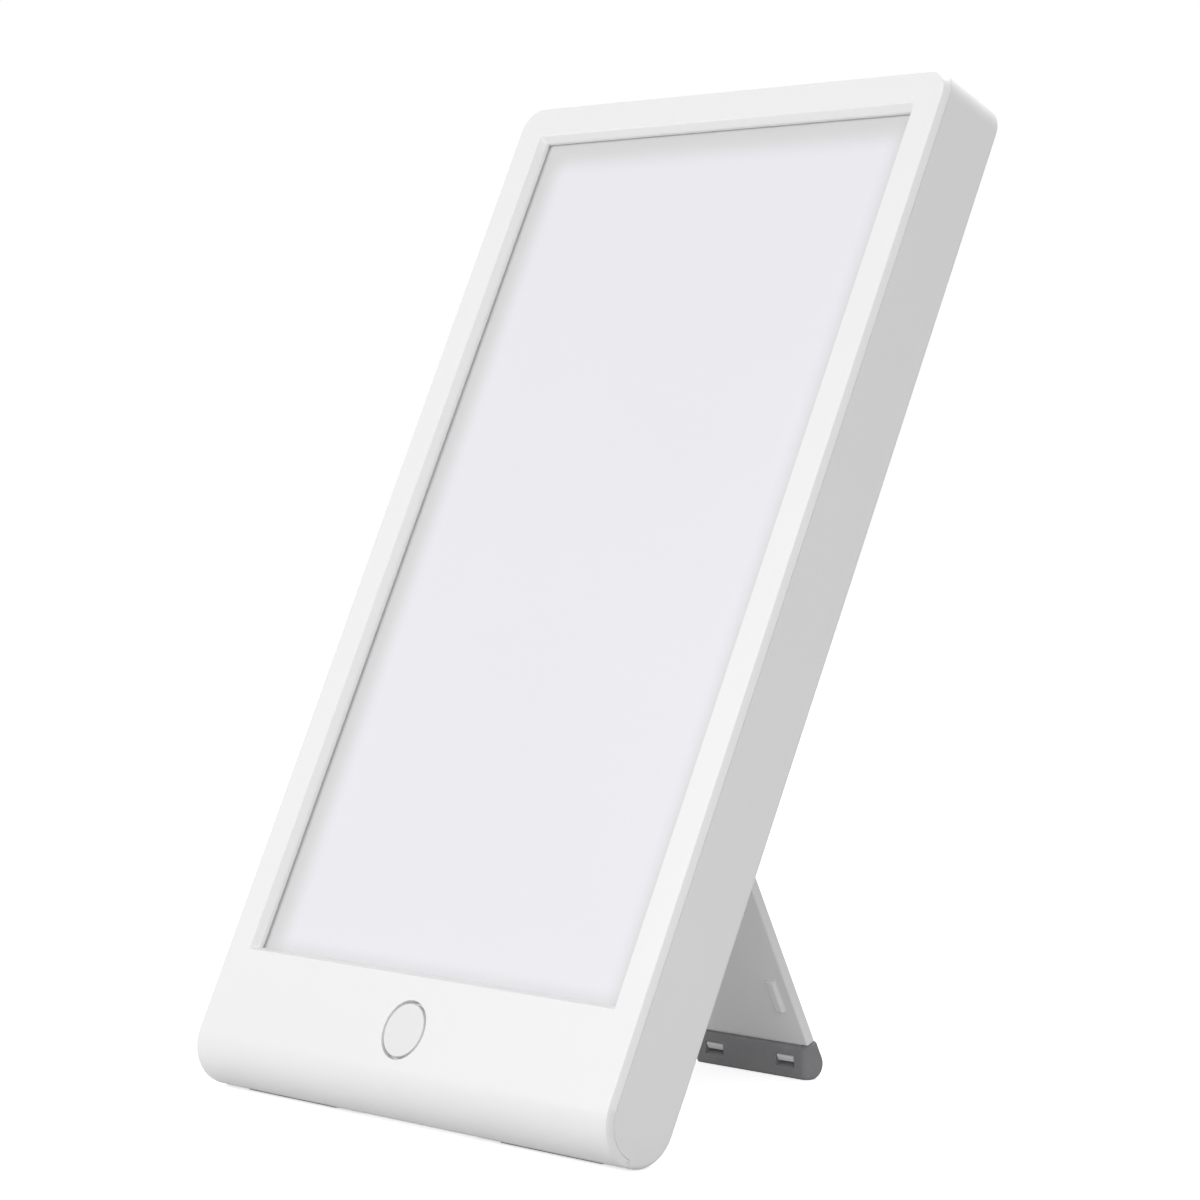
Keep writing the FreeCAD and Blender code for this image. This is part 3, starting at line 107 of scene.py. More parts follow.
lens = bpy.data.cameras.new("camera")
lens.sensor_width = SENSOR_WIDTH
lens.lens = SENSOR_WIDTH * FOCAL_PIXELS / PICTURE_PIXELS
camera = bpy.data.objects.new("camera", lens)
bpy.context.scene.collection.objects.link(camera)
camera.matrix_world = (
    Matrix.Translation(CAMERA_PLACE)
    @ Matrix.Rotation(CAMERA_TURN, 4, "Z")
    @ Matrix.Rotation(math.radians(90) - CAMERA_DROP, 4, "X")
)
bpy.context.scene.camera = camera
print(f"camera with a {lens.lens:.1f} mm lens")

# %% [markdown]
# ## Helpers for finishes
#
# Colours are written as sRGB hex, as in any paint program, and Blender wants linear values, so one
# function turns them. Another adds a shader node with its settings and links in one line. A third
# starts a finish: the object coordinates of every piece are the lamp's metres, and a Mapping node
# turns them back into panel millimetres. So a pattern's scale is one over its size in
# millimetres, and its lines run along the panel.


# %% Colour and node helpers
def linear(code):
    """A hex colour as the linear RGBA that a shader wants."""
    found = []
    for first in (0, 2, 4):
        level = int(code[first : first + 2], 16) / 255
        # The sRGB curve: straight in the darkest shades, a power above them.
        found.append(level / 12.92 if level <= 0.04045 else ((level + 0.055) / 1.055) ** 2.4)
    return (*found, 1.0)


def node(tree, kind, links=None, **settings):
    """Add a shader node; links maps its inputs to sockets or plain values."""
    made = tree.nodes.new("ShaderNode" + kind)
    for name, value in settings.items():
        setattr(made, name, value)
    for name, value in (links or {}).items():
        if isinstance(value, bpy.types.NodeSocket):
            tree.links.new(value, made.inputs[name])
        else:
            made.inputs[name].default_value = value
    return made


def new_finish(name):
    """An empty material, its node tree, and the place of a point in panel millimetres."""
    finish = bpy.data.materials.new(name)
    finish.use_nodes = True
    tree = finish.node_tree
    tree.nodes.clear()
    place = node(
        tree,
        "Mapping",
        {
            "Vector": node(tree, "TexCoord").outputs["Object"],
            "Location": panel_start,
            "Rotation": upright.to_euler(),
            "Scale": (MM, MM, MM),
        },
        vector_type="TEXTURE",
    )
    return finish, tree, place.outputs["Vector"]


print(f"a mid grey of 808080 is {linear('808080')[0]:.3f} in linear values")

# %% [markdown]
# ## Moulded plastics
#
# Nearly everything that shows is injection moulded in white ABS. A polished mould leaves a faint
# waviness, a spark-eroded one a fine even grain, and the shade drifts a little where the melt
# flowed. So each plastic is one colour with a slow drift over some centimetres, a roughness that
# drifts with it, and a grain with a real width and depth in millimetres, pressed in as bump. A
# painted texture could do the same, but noise costs no unwrapping and never shows a seam.


# %% Moulded finishes
SHEEN_DRIFT = 0.05


def moulded(name, colour, flow, roughness, grain, relief, ior=1.53, drift=28.0):
    """A moulded plastic: its colour, the shade where it flowed, roughness, and grain in mm."""
    finish, tree, place = new_finish(name)
    melt = node(tree, "TexNoise", {"Vector": place, "Scale": 1 / drift, "Detail": 2.0})
    tone = node(
        tree,
        "MixRGB",
        {"Fac": melt.outputs["Fac"], "Color1": linear(colour), "Color2": linear(flow)},
    )
    rough = node(
        tree,
        "MapRange",
        {
            "Value": melt.outputs["Fac"],
            "To Min": roughness - SHEEN_DRIFT,
            "To Max": roughness + SHEEN_DRIFT,
        },
    )
    pores = node(
        tree, "TexNoise", {"Vector": place, "Scale": 1 / grain, "Detail": 2.5, "Roughness": 0.6}
    )
    pressed = node(tree, "Bump", {"Height": pores.outputs["Fac"], "Distance": relief * MM})
    plastic = node(
        tree,
        "BsdfPrincipled",
        {
            "Base Color": tone.outputs["Color"],
            "Roughness": rough.outputs["Result"],
            "Normal": pressed.outputs["Normal"],
            "IOR": ior,
        },
    )
    node(tree, "OutputMaterial", {"Surface": plastic.outputs["BSDF"]})
    return finish


# ABS from a satin polished mould: a soft broad highlight and no grain that the eye can find.
SATIN_ABS = moulded("satin_polished_abs", "F2F2F2", "F0F0F0", 0.40, 1.2, 0.002)
# The same ABS for the button, a trace duller, because a finger should find it.
BUTTON_ABS = moulded("dull_polished_abs", "EBEBEB", "E9E9E9", 0.52, 0.5, 0.003)
# From a spark-eroded mould: a fine even grain that spreads every highlight.
ERODED_ABS = moulded("spark_eroded_abs", "F0F0F0", "EEEEEE", 0.58, 0.45, 0.008)
# The leg's is stiffened with glass, which greys the white a little.
LEG_ABS = moulded("glass_filled_abs", "EAEAEA", "E7E7E7", 0.56, 0.5, 0.010)
print("four moulded plastics ready")

# %% [markdown]
# ## Rubber
#
# The boot on the leg and the two grip strips are moulded thermoplastic rubber. It is matt, its
# grain is deeper than the plastics', and dust and skin oil leave it patchy. So a second noise,
# some millimetres wide, blends a dusty shade over the rubber's own colour.


# %% Moulded rubber
DUST_PATCH = 6.0


def rubber(name, colour, dusty, grain, relief):
    """Moulded rubber: its colour, its dusty shade, and its grain in mm."""
    finish, tree, place = new_finish(name)
    dust = node(tree, "TexNoise", {"Vector": place, "Scale": 1 / DUST_PATCH, "Detail": 4.0})
    patchy = node(
        tree, "MapRange", {"Value": dust.outputs["Fac"], "From Min": 0.35, "From Max": 0.7}
    )
    tone = node(
        tree,
        "MixRGB",
        {"Fac": patchy.outputs["Result"], "Color1": linear(colour), "Color2": linear(dusty)},
    )
    rough = node(
        tree, "MapRange", {"Value": patchy.outputs["Result"], "To Min": 0.68, "To Max": 0.85}
    )
    skin = node(
        tree, "TexNoise", {"Vector": place, "Scale": 1 / grain, "Detail": 2.0, "Roughness": 0.7}
    )
    pressed = node(tree, "Bump", {"Height": skin.outputs["Fac"], "Distance": relief * MM})
    soft = node(
        tree,
        "BsdfPrincipled",
        {
            "Base Color": tone.outputs["Color"],
            "Roughness": rough.outputs["Result"],
            "Normal": pressed.outputs["Normal"],
            "IOR": 1.5,
            "Specular IOR Level": 0.35,
        },
    )
    node(tree, "OutputMaterial", {"Surface": soft.outputs["BSDF"]})
    return finish


# Thermoplastic rubber, moulded and matt: a dull mid grey with a faint bloom.
BOOT_RUBBER = rubber("moulded_boot_rubber", "838385", "8B8B8D", 0.35, 0.02)
# The grips are a paler grade of it.
GRIP_RUBBER = rubber("moulded_grip_rubber", "A6A6A8", "B0B0B2", 0.35, 0.02)
print(f"two rubbers, dusty in patches of {DUST_PATCH} mm")

# %% [markdown]
# ## Opal acrylic
#
# The window is a sheet of opal acrylic, cast with a satin face. Fine white particles inside it
# spread the light, so switched off it looks even and a touch bluer than the shell round it. A
# volume would copy the particles, but for an unlit sheet a plain surface with that colour, a slow
# cloud in it and an etched face gives the same look at no cost. Near the frame the frame's shadow
# is painted into the sheet as a grey shade mixed into its colour. One Map Range for each side of
# the window draws that painted shadow, and it is deeper on the left and at the top.

# %% Opal acrylic sheet
CLOUD_WIDTH = 60.0
ETCHED_GRAIN = 0.25
# Direction, where the frame is, where its painted shadow ends, and how much of the sheet's tone is
# kept.
FRAME_SHADOW_SIDES = (
    ("X", -69.0, -57.0, 0.0),
    ("X", 69.0, 60.0, 0.45),
    ("Y", 262.5, 251.0, 0.0),
    ("Y", 24.5, 30.0, 0.55),
)

OPAL_ACRYLIC, tree, place = new_finish("cast_opal_acrylic")
cloud = node(tree, "TexNoise", {"Vector": place, "Scale": 1 / CLOUD_WIDTH, "Detail": 1.0})
tone = node(
    tree,
    "MixRGB",
    {"Fac": cloud.outputs["Fac"], "Color1": linear("ECEBF0"), "Color2": linear("EAE9EE")},
)
axes = node(tree, "SeparateXYZ", {"Vector": place}).outputs
kept = 1.0
for direction, frame_side, clear_of_it, least in FRAME_SHADOW_SIDES:
    ramp = node(
        tree,
        "MapRange",
        {
            "Value": axes[direction],
            "From Min": frame_side,
            "From Max": clear_of_it,
            "To Min": least,
        },
        interpolation_type="SMOOTHERSTEP",
    )
    kept = node(
        tree, "Math", {0: ramp.outputs["Result"], 1: kept}, operation="MULTIPLY"
    ).outputs["Value"]
# The frame's painted shadow: a neutral grey mixed into the sheet's colour near each side of the
# window.
painted_frame_shadow = node(
    tree, "MixRGB", {"Fac": kept, "Color1": linear("D2D2D2"), "Color2": tone.outputs["Color"]}
)
etched = node(tree, "TexNoise", {"Vector": place, "Scale": 1 / ETCHED_GRAIN, "Detail": 2.0})
satin = node(tree, "Bump", {"Height": etched.outputs["Fac"], "Distance": 0.002 * MM})
sheet = node(
    tree,
    "BsdfPrincipled",
    {
        "Base Color": painted_frame_shadow.outputs["Color"],
        "Roughness": 0.5,
        "Normal": satin.outputs["Normal"],
        "IOR": 1.49,
    },
)
node(tree, "OutputMaterial", {"Surface": sheet.outputs["BSDF"]})
print(f"{OPAL_ACRYLIC.name}: {len(tree.nodes)} nodes")

# %% [markdown]
# ## Clear acrylic and white film
#
# Behind the opal sheet lies a clear acrylic guide, which the LEDs light from its long edges. A
# laser has burnt small white dots into it every two millimetres, and each dot throws light
# forwards. The film behind it is white polyester, which sends stray light back. A Voronoi texture
# with no randomness is an exact grid of cells, and the distance to a cell's middle draws a dot.

# %% Light guide and reflector
DOT_PITCH = 2.0
# Radius of a dot, in pitches: burnt as far as the first number, clear from the second on.
DOT_BURNT, DOT_CLEAR = 0.16, 0.22

DOTTED_ACRYLIC, tree, place = new_finish("laser_dotted_acrylic")
dots = node(tree, "TexVoronoi", {"Vector": place, "Scale": 1 / DOT_PITCH, "Randomness": 0.0})
burnt = node(
    tree,
    "MapRange",
    {"Value": dots.outputs["Distance"], "From Min": DOT_CLEAR, "From Max": DOT_BURNT},
)
frosted = node(tree, "MapRange", {"Value": burnt.outputs["Result"], "To Min": 0.03, "To Max": 0.6})
clear = node(tree, "MapRange", {"Value": burnt.outputs["Result"], "To Min": 1.0, "To Max": 0.15})
guide = node(
    tree,
    "BsdfPrincipled",
    {
        "Base Color": linear("F6FAFA"),
        "Roughness": frosted.outputs["Result"],
        "Transmission Weight": clear.outputs["Result"],
        "IOR": 1.49,
    },
)
node(tree, "OutputMaterial", {"Surface": guide.outputs["BSDF"]})

# Polyester film, drawn and filled with white: bright, slightly glossy, very faintly wavy.
WHITE_FILM = moulded("drawn_white_polyester", "FAFAFA", "F7F7F8", 0.28, 3.0, 0.004, ior=1.57)
print(f"dots every {DOT_PITCH} mm, {2 * DOT_BURNT * DOT_PITCH:.2f} mm wide")

# %% [markdown]
# ## Foam and tape
#
# The gasket round the window is cut from pale closed-cell foam, whose cells are a fraction of a
# millimetre wide: a Voronoi texture gives the cells, and its distance presses them in. The tape
# under the LED strips is silicone on a glass weave, which carries heat. Two wave textures across
# each other make the weave, and the higher of the two is the thread on top.

# %% Closed-cell foam
CELL_WIDTH = 0.35

CUT_FOAM, tree, place = new_finish("cut_closed_cell_foam")
cells = node(tree, "TexVoronoi", {"Vector": place, "Scale": 1 / CELL_WIDTH, "Randomness": 0.9})
tone = node(
    tree,
    "MixRGB",
    {"Fac": cells.outputs["Distance"], "Color1": linear("DADADB"), "Color2": linear("C4C4C6")},
)
open_cells = node(tree, "Bump", {"Height": cells.outputs["Distance"], "Distance": 0.05 * MM})
foam = node(
    tree,
    "BsdfPrincipled",
    {
        "Base Color": tone.outputs["Color"],
        "Roughness": 0.9,
        "Normal": open_cells.outputs["Normal"],
        "IOR": 1.5,
    },
)
node(tree, "OutputMaterial", {"Surface": foam.outputs["BSDF"]})
print(f"{CUT_FOAM.name}: cells of {CELL_WIDTH} mm")

# %% Heat conducting tape
THREAD_PITCH = 0.5

WOVEN_TAPE, tree, place = new_finish("silicone_on_woven_glass")
# A wave texture repeats every pi / 10 at a scale of 1.
waves = [
    node(
        tree,
        "TexWave",
        {"Vector": place, "Scale": math.pi / (10 * THREAD_PITCH)},
        bands_direction=direction,
    )
    for direction in ("Y", "Z")
]
on_top = node(
    tree, "Math", {0: waves[0].outputs["Fac"], 1: waves[1].outputs["Fac"]}, operation="MAXIMUM"
)
tone = node(
    tree,
    "MixRGB",
    {"Fac": on_top.outputs["Value"], "Color1": linear("A9AEB3"), "Color2": linear("C3C7CB")},
)
threads = node(tree, "Bump", {"Height": on_top.outputs["Value"], "Distance": 0.03 * MM})
tape = node(
    tree,
    "BsdfPrincipled",
    {
        "Base Color": tone.outputs["Color"],
        "Roughness": 0.7,
        "Normal": threads.outputs["Normal"],
        "IOR": 1.41,
    },
)
node(tree, "OutputMaterial", {"Surface": tape.outputs["BSDF"]})
print(f"{WOVEN_TAPE.name}: a thread every {THREAD_PITCH} mm")

# %% [markdown]
# ## Circuit boards
#
# The control board is glass and epoxy under green solder resist, and the LED strips have white
# resist. Copper tracks show through the resist as a lighter shade with a raised edge. A Brick
# texture stands in for tracks: its bricks are the copper, its joints are the gaps between them,
# and the shifted rows keep it from looking like a grid.


# %% Boards under solder resist
PRINTED_GRAIN = 1.5


def resist_board(name, resist, over_copper, track, gap):
    """A circuit board: resist, resist over copper, and track length and gap in mm."""
    finish, tree, place = new_finish(name)
    tracks = node(
        tree,
        "TexBrick",
        {
            "Vector": place,
            "Color1": linear(over_copper),
            "Color2": linear(over_copper),
            "Mortar": linear(resist),
            "Scale": 1.0,
            "Mortar Size": gap / 2,
            "Mortar Smooth": 0.2,
            "Brick Width": track,
            "Row Height": track / 6,
        },
        offset=0.35,
        offset_frequency=3,
        squash=0.6,
        squash_frequency=2,
    )
    printed = node(tree, "TexNoise", {"Vector": place, "Scale": 1 / PRINTED_GRAIN, "Detail": 2.0})
    rough = node(
        tree, "MapRange", {"Value": printed.outputs["Fac"], "To Min": 0.25, "To Max": 0.4}
    )
    raised = node(
        tree, "Bump", {"Height": tracks.outputs["Fac"], "Distance": 0.03 * MM}, invert=True
    )
    board = node(
        tree,
        "BsdfPrincipled",
        {
            "Base Color": tracks.outputs["Color"],
            "Roughness": rough.outputs["Result"],
            "Normal": raised.outputs["Normal"],
            "IOR": 1.52,
        },
    )
    node(tree, "OutputMaterial", {"Surface": board.outputs["BSDF"]})
    return finish


# Solder resist, screen printed: glossy, with the copper just raised under it.
GREEN_RESIST = resist_board("printed_green_resist", "14552F", "1F6E40", 9.0, 0.5)
# White resist throws the LEDs' light back.
WHITE_RESIST = resist_board("printed_white_resist", "EFF0EE", "F5F5F3", 12.0, 0.4)
print(f"{GREEN_RESIST.name} and {WHITE_RESIST.name} ready")

# %% [markdown]
# ## Metals
#
# The back plate is rolled aluminium sheet: fine lines along the rolling direction draw its
# reflection out. The screws are zinc plated and blued, so they are patchy. The hinge pin is
# ground, the jack's pin is nickel plated, which looks slightly yellow, and the switch has a tinned
# steel can. All are one recipe: a noise that is stretched along the lines for roughness and bump,
# and a wider one for the patches. A metal keeps the default IOR, and its colour is that of its
# reflection.


# %% Rolled, plated and ground metals
PATCH_WIDTH = 4.0
STREAK_CONTRAST = 0.1


def metal(name, colour, patch, roughness, line, length, relief):
    """A metal: colour, its patchy shade, roughness, and width, length and depth of its lines."""
    finish, tree, place = new_finish(name)
    stretched = node(
        tree, "VectorMath", {0: place, 1: (1 / line, 1 / length, 1 / line)}, operation="MULTIPLY"
    )
    lines = node(
        tree, "TexNoise", {"Vector": stretched.outputs["Vector"], "Scale": 1.0, "Detail": 3.0}
    )
    patches = node(tree, "TexNoise", {"Vector": place, "Scale": 1 / PATCH_WIDTH, "Detail": 3.0})
    tone = node(
        tree,
        "MixRGB",
        {"Fac": patches.outputs["Fac"], "Color1": linear(colour), "Color2": linear(patch)},
    )
    rough = node(
        tree,
        "MapRange",
        {
            "Value": lines.outputs["Fac"],
            "To Min": roughness - STREAK_CONTRAST,
            "To Max": roughness + STREAK_CONTRAST,
        },
    )
    scored = node(tree, "Bump", {"Height": lines.outputs["Fac"], "Distance": relief * MM})
    bare = node(
        tree,
        "BsdfPrincipled",
        {
            "Base Color": tone.outputs["Color"],
            "Metallic": 1.0,
            "Roughness": rough.outputs["Result"],
            "Normal": scored.outputs["Normal"],
        },
    )
    node(tree, "OutputMaterial", {"Surface": bare.outputs["BSDF"]})
    return finish


# Aluminium sheet as rolled: a streaky grey sheen, its lines 0.3 mm apart.
ROLLED_ALUMINIUM = metal("rolled_aluminium", "D4D6D8", "C9CBCE", 0.38, 0.3, 30.0, 0.004)
# Steel, zinc plated and blue passivated: bright, cool and a little uneven.
ZINC_STEEL = metal("zinc_plated_steel", "C6CBD1", "B0B6BE", 0.33, 0.4, 0.4, 0.003)
# Steel, ground: smooth, with fine lines that only break its highlight.
GROUND_STEEL = metal("ground_steel", "C9C8C6", "BDBCBA", 0.25, 0.12, 3.0, 0.001)
# Brass, nickel plated: a clear, slightly yellow mirror.
NICKEL_BRASS = metal("nickel_plated_brass", "D8D2C4", "CFC9BB", 0.20, 0.5, 0.5, 0.001)
# Steel, tinned and stamped: soft, greyish white.
TINNED_STEEL = metal("stamped_tinned_steel", "D2D2D0", "BFC0BF", 0.35, 0.6, 0.6, 0.004)
print("five metals ready")

# %% [markdown]
# ## Plastics and ceramics of the electronics
#
# The chip is moulded epoxy, the inductor is pressed and fired ferrite, the headers are natural
# nylon, the hinge's washers are acetal, and the wires have PVC skins. Each is one colour with a
# grain, so the recipe for moulded plastic makes them all, with a drift of a few millimetres
# instead of some centimetres.

# %% One-colour parts inside the case
# Epoxy with silica, moulded: charcoal and sandy.
CHIP_EPOXY = moulded("moulded_chip_epoxy", "232426", "1E1F21", 0.60, 0.12, 0.010, drift=2.0)
# Ferrite, pressed and fired: dull and dark like slate.
FIRED_FERRITE = moulded("fired_ferrite", "3F4042", "363739", 0.62, 0.25, 0.020, drift=1.5)
# Nylon without pigment, moulded: creamy, with a waxy gloss.
NATURAL_NYLON = moulded("moulded_natural_nylon", "E9E5D6", "E4DFCF", 0.42, 0.8, 0.004, drift=5.0)
# Acetal, turned: whiter and slicker than nylon.
TURNED_ACETAL = moulded("turned_acetal", "EDEDE8", "E8E8E3", 0.30, 0.6, 0.002, 1.48, 5.0)
# PBT with black pigment, moulded: a clean satin black, and a duller one for the plunger.
BLACK_PBT = moulded("moulded_black_pbt", "1D1D1E", "222223", 0.38, 0.4, 0.004, 1.55, 6.0)
DULL_PBT = moulded("dull_black_pbt", "202021", "262627", 0.55, 0.2, 0.006, 1.55, 4.0)
# PVC, extruded over the wire: a soft gloss along it.
RED_PVC = moulded("extruded_red_pvc", "B3231F", "A91F1C", 0.40, 0.6, 0.003, 1.54, 8.0)
BLACK_PVC = moulded("extruded_black_pvc", "1B1B1C", "202021", 0.40, 0.6, 0.003, 1.54, 8.0)
print("eight finishes for the electronics ready")

# %% [markdown]
# ## Small parts of two materials
#
# Three kinds of part inside the case are one solid of two materials. The capacitors have bare
# aluminium tops over black sleeves, the small resistors have tinned ends on a ceramic body, and
# the LEDs have a yellow phosphor window in a white frame. Splitting the solids would work too,
# but a mask in the material is lighter. It picks a place along one direction of the panel, and
# where a part repeats in a row, a Ping-Pong node folds the row into one part: it gives the
# distance to the nearest middle.


# %% Masked finishes
FINE_GRAIN = 0.2


def two_tone(name, mask, under, over):
    """A finish of two: under and over are (colour, metallic, roughness), mask picks over."""
    finish, tree, place = new_finish(name)
    axes = node(tree, "SeparateXYZ", {"Vector": place}).outputs
    chosen = mask(tree, axes).outputs["Value"]
    tone = node(
        tree, "MixRGB", {"Fac": chosen, "Color1": linear(under[0]), "Color2": linear(over[0])}
    )
    shine = node(tree, "MapRange", {"Value": chosen, "To Min": under[1], "To Max": over[1]})
    rough = node(tree, "MapRange", {"Value": chosen, "To Min": under[2], "To Max": over[2]})
    fine = node(tree, "TexNoise", {"Vector": place, "Scale": 1 / FINE_GRAIN, "Detail": 2.0})
    uneven = node(tree, "Bump", {"Height": fine.outputs["Fac"], "Distance": 0.004 * MM})
    part = node(
        tree,
        "BsdfPrincipled",
        {
            "Base Color": tone.outputs["Color"],
            "Metallic": shine.outputs["Result"],
            "Roughness": rough.outputs["Result"],
            "Normal": uneven.outputs["Normal"],
        },
    )
    node(tree, "OutputMaterial", {"Surface": part.outputs["BSDF"]})
    return finish


# %% Where the second material shows
TOP_SHOWS = 0.1
RESISTOR_LENGTH, RESISTOR_PITCH = 2.0, 3.4
LED_LENGTH, LED_BREADTH, LED_PITCH = 3.5, 2.8, 8.0
# Shares of a part's length or breadth, from its middle.
TINNED_FROM = 0.3
PHOSPHOR_ALONG, PHOSPHOR_ACROSS = 0.38, 0.36


def capacitor_tops(tree, axes):
    """1 on the last tenth of a millimetre of the cans, where the sleeve ends."""
    tops = panel_box("capacitors")[0].z
    return node(tree, "Math", {0: axes["Z"], 1: tops + TOP_SHOWS}, operation="LESS_THAN")


def folded_row(tree, along, middle, pitch):
    """Distance to the nearest middle of a row of parts."""
    shifted = node(tree, "Math", {0: along, 1: middle}, operation="SUBTRACT")
    return node(
        tree, "Math", {0: shifted.outputs["Value"], 1: pitch / 2}, operation="PINGPONG"
    ).outputs["Value"]


def resistor_ends(tree, axes):
    """1 on both ends of every small part of the row."""
    middle = panel_box("surface_parts")[0].x + RESISTOR_LENGTH / 2
    beside = folded_row(tree, axes["X"], middle, RESISTOR_PITCH)
    end = TINNED_FROM * RESISTOR_LENGTH
    return node(tree, "Math", {0: beside, 1: end}, operation="GREATER_THAN")


def phosphor_window(tree, axes):
    """1 in the middle of every LED of the row, seen along the strip and through the panel."""
    low, high = panel_box("leds_left")
    beside = folded_row(tree, axes["Y"], low.y + LED_LENGTH / 2, LED_PITCH)
    reach = PHOSPHOR_ALONG * LED_LENGTH
    along = node(tree, "Math", {0: beside, 1: reach}, operation="LESS_THAN")
    deep = node(tree, "Math", {0: axes["Z"], 1: (low.z + high.z) / 2}, operation="SUBTRACT")
    aside = node(tree, "Math", {0: deep.outputs["Value"]}, operation="ABSOLUTE")
    inside = node(
        tree,
        "Math",
        {0: aside.outputs["Value"], 1: PHOSPHOR_ACROSS * LED_BREADTH},
        operation="LESS_THAN",
    )
    return node(
        tree,
        "Math",
        {0: along.outputs["Value"], 1: inside.outputs["Value"]},
        operation="MULTIPLY",
    )


# %% Cans, resistors and LEDs
# Aluminium can in a heat-shrunk sleeve: satin black, with a bright drawn top.
SLEEVED_CAN = two_tone(
    "sleeved_aluminium_can", capacitor_tops, ("1B1C26", 0, 0.35), ("D0D2D4", 1, 0.3)
)
# Fired ceramic with tinned ends: matt brown body, soft silver ends.
TINNED_CERAMIC = two_tone(
    "tinned_ceramic", resistor_ends, ("8E7A5F", 0, 0.6), ("CFCFCD", 1, 0.4)
)
# Moulded white frame round a cast phosphor window, yellow when it is off.
PHOSPHOR_LED = two_tone(
    "phosphor_in_white_frame", phosphor_window, ("F2F2EE", 0, 0.45), ("E8D24A", 0, 0.25)
)
print(f"a phosphor window is {2 * PHOSPHOR_ALONG * LED_LENGTH:.2f} mm long")

# %% [markdown]
# ## Every solid gets its finish
#
# A solid's place in the lamp decides its material, so one table names them all. Those that show
# are replaced by softer copies below, and the copies take the same finishes.

# %% Finish of every solid
FINISHES = {
    "front_shell": SATIN_ABS,
    "rear_shell": ERODED_ABS,
    "button_cap": BUTTON_ABS,
    "leg": LEG_ABS,
    "foot_pad": BOOT_RUBBER,
    "grip_strips": GRIP_RUBBER,
    "window_gasket": CUT_FOAM,
    "diffuser": OPAL_ACRYLIC,
    "light_guide": DOTTED_ACRYLIC,
    "reflector_sheet": WHITE_FILM,
    "back_plate": ROLLED_ALUMINIUM,
    "thermal_tapes": WOVEN_TAPE,
    "led_strip_left": WHITE_RESIST,
    "led_strip_right": WHITE_RESIST,
    "leds_left": PHOSPHOR_LED,
    "leds_right": PHOSPHOR_LED,
    "switch_plunger": DULL_PBT,
    "switch_body": TINNED_STEEL,
    "control_board": GREEN_RESIST,
    "driver_chip": CHIP_EPOXY,
    "inductor": FIRED_FERRITE,
    "capacitors": SLEEVED_CAN,
    "surface_parts": TINNED_CERAMIC,
    "wire_headers": NATURAL_NYLON,
    "red_wires": RED_PVC,
    "black_wires": BLACK_PVC,
    "dc_jack": BLACK_PBT,
    "jack_pin": NICKEL_BRASS,
    "plate_screws": ZINC_STEEL,
    "board_screws": ZINC_STEEL,
    "case_screws": ZINC_STEEL,
    "hinge_pin": GROUND_STEEL,
    "friction_washers": TURNED_ACETAL,
}
for name, solid in solids.items():
    solid.data.materials.clear()
    solid.data.materials.append(FINISHES[name])
print(f"{len(FINISHES)} solids finished in {len(set(FINISHES.values()))} materials")

# %% [markdown]
# ## Soft edges for the mouldings
#
# No moulded edge is sharp: the tool's own edges are broken, so each one catches a thin line of
# light. The solids have crisp edges, so a moulding here starts as a copy of its solid, turned
# into panel millimetres and merged, because a loaded solid is loose triangles. Flat faces are
# joined again, the corners that show are rolled over with a small bevel, and the copy stands for
# the solid. A Bevel modifier would round every edge by one width, and hidden ribs as well.


# %% Copy a solid, roll its edges, finish a piece
MERGED_WITHIN = 1e-6
FLAT_BELOW = math.radians(0.4)
ROLLED_FROM = math.radians(30)
SHARP_FROM = math.radians(35)
CLEANED_WITHIN = 0.002


def copy_of(name):
    """A merged copy of a solid, in panel millimetres, with its flat faces joined."""
    shape = bmesh.new()
    shape.from_mesh(solids[name].data)
    bmesh.ops.remove_doubles(shape, verts=shape.verts, dist=MERGED_WITHIN)
    bmesh.ops.transform(shape, matrix=FROM_PANEL, verts=shape.verts)
    bmesh.ops.dissolve_limit(shape, angle_limit=FLAT_BELOW, verts=shape.verts, edges=shape.edges)
    return shape


def is_corner(edge):
    """Whether an edge is an outer corner rather than part of a curve or an inner corner."""
    return edge.is_manifold and edge.is_convex and edge.calc_face_angle() > ROLLED_FROM


def roll_edges(shape, shows, width, segments=2):
    """Roll the corners that show over with a small radius, and say how many there were."""
    corners = [edge for edge in shape.edges if is_corner(edge) and shows(edge)]
    bmesh.ops.bevel(
        shape,
        geom=corners,
        offset=width,
        offset_type="OFFSET",
        affect="EDGES",
        segments=segments,
        profile=0.5,
        material=-1,
        clamp_overlap=False,
    )
    bmesh.ops.remove_doubles(shape, verts=shape.verts, dist=CLEANED_WITHIN)
    bmesh.ops.dissolve_degenerate(shape, edges=shape.edges, dist=CLEANED_WITHIN)
    print(f"rolled {len(corners)} corners over by {width} mm")


def finished(shape, name, body, stands_for):
    """Turn a shape in panel millimetres into a smooth piece that rides on its body."""
    bmesh.ops.transform(shape, matrix=PANEL, verts=shape.verts)
    for face in shape.faces:
        face.smooth = True
    for edge in shape.edges:
        edge.smooth = not (edge.is_manifold and edge.calc_face_angle() > SHARP_FROM)
    mesh = bpy.data.meshes.new(name)
    shape.to_mesh(mesh)
    shape.free()
    mesh.materials.append(FINISHES[stands_for])
    piece = bpy.data.objects.new(name, mesh)
    bpy.context.scene.collection.objects.link(piece)
    weighted = piece.modifiers.new("weighted", "WEIGHTED_NORMAL")
    weighted.keep_sharp = True
    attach(piece, body)
    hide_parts(stands_for)
    print(f"{name}: {len(mesh.vertices)} vertices, {len(mesh.polygons)} faces")


# %% [markdown]
# ## Which corners show
#
# A corner of a shell shows when it lies on the panel's outer skin. In panel millimetres that is a
# short test on its ends: far enough out to a side, forwards, back, or out on the half-round edge.


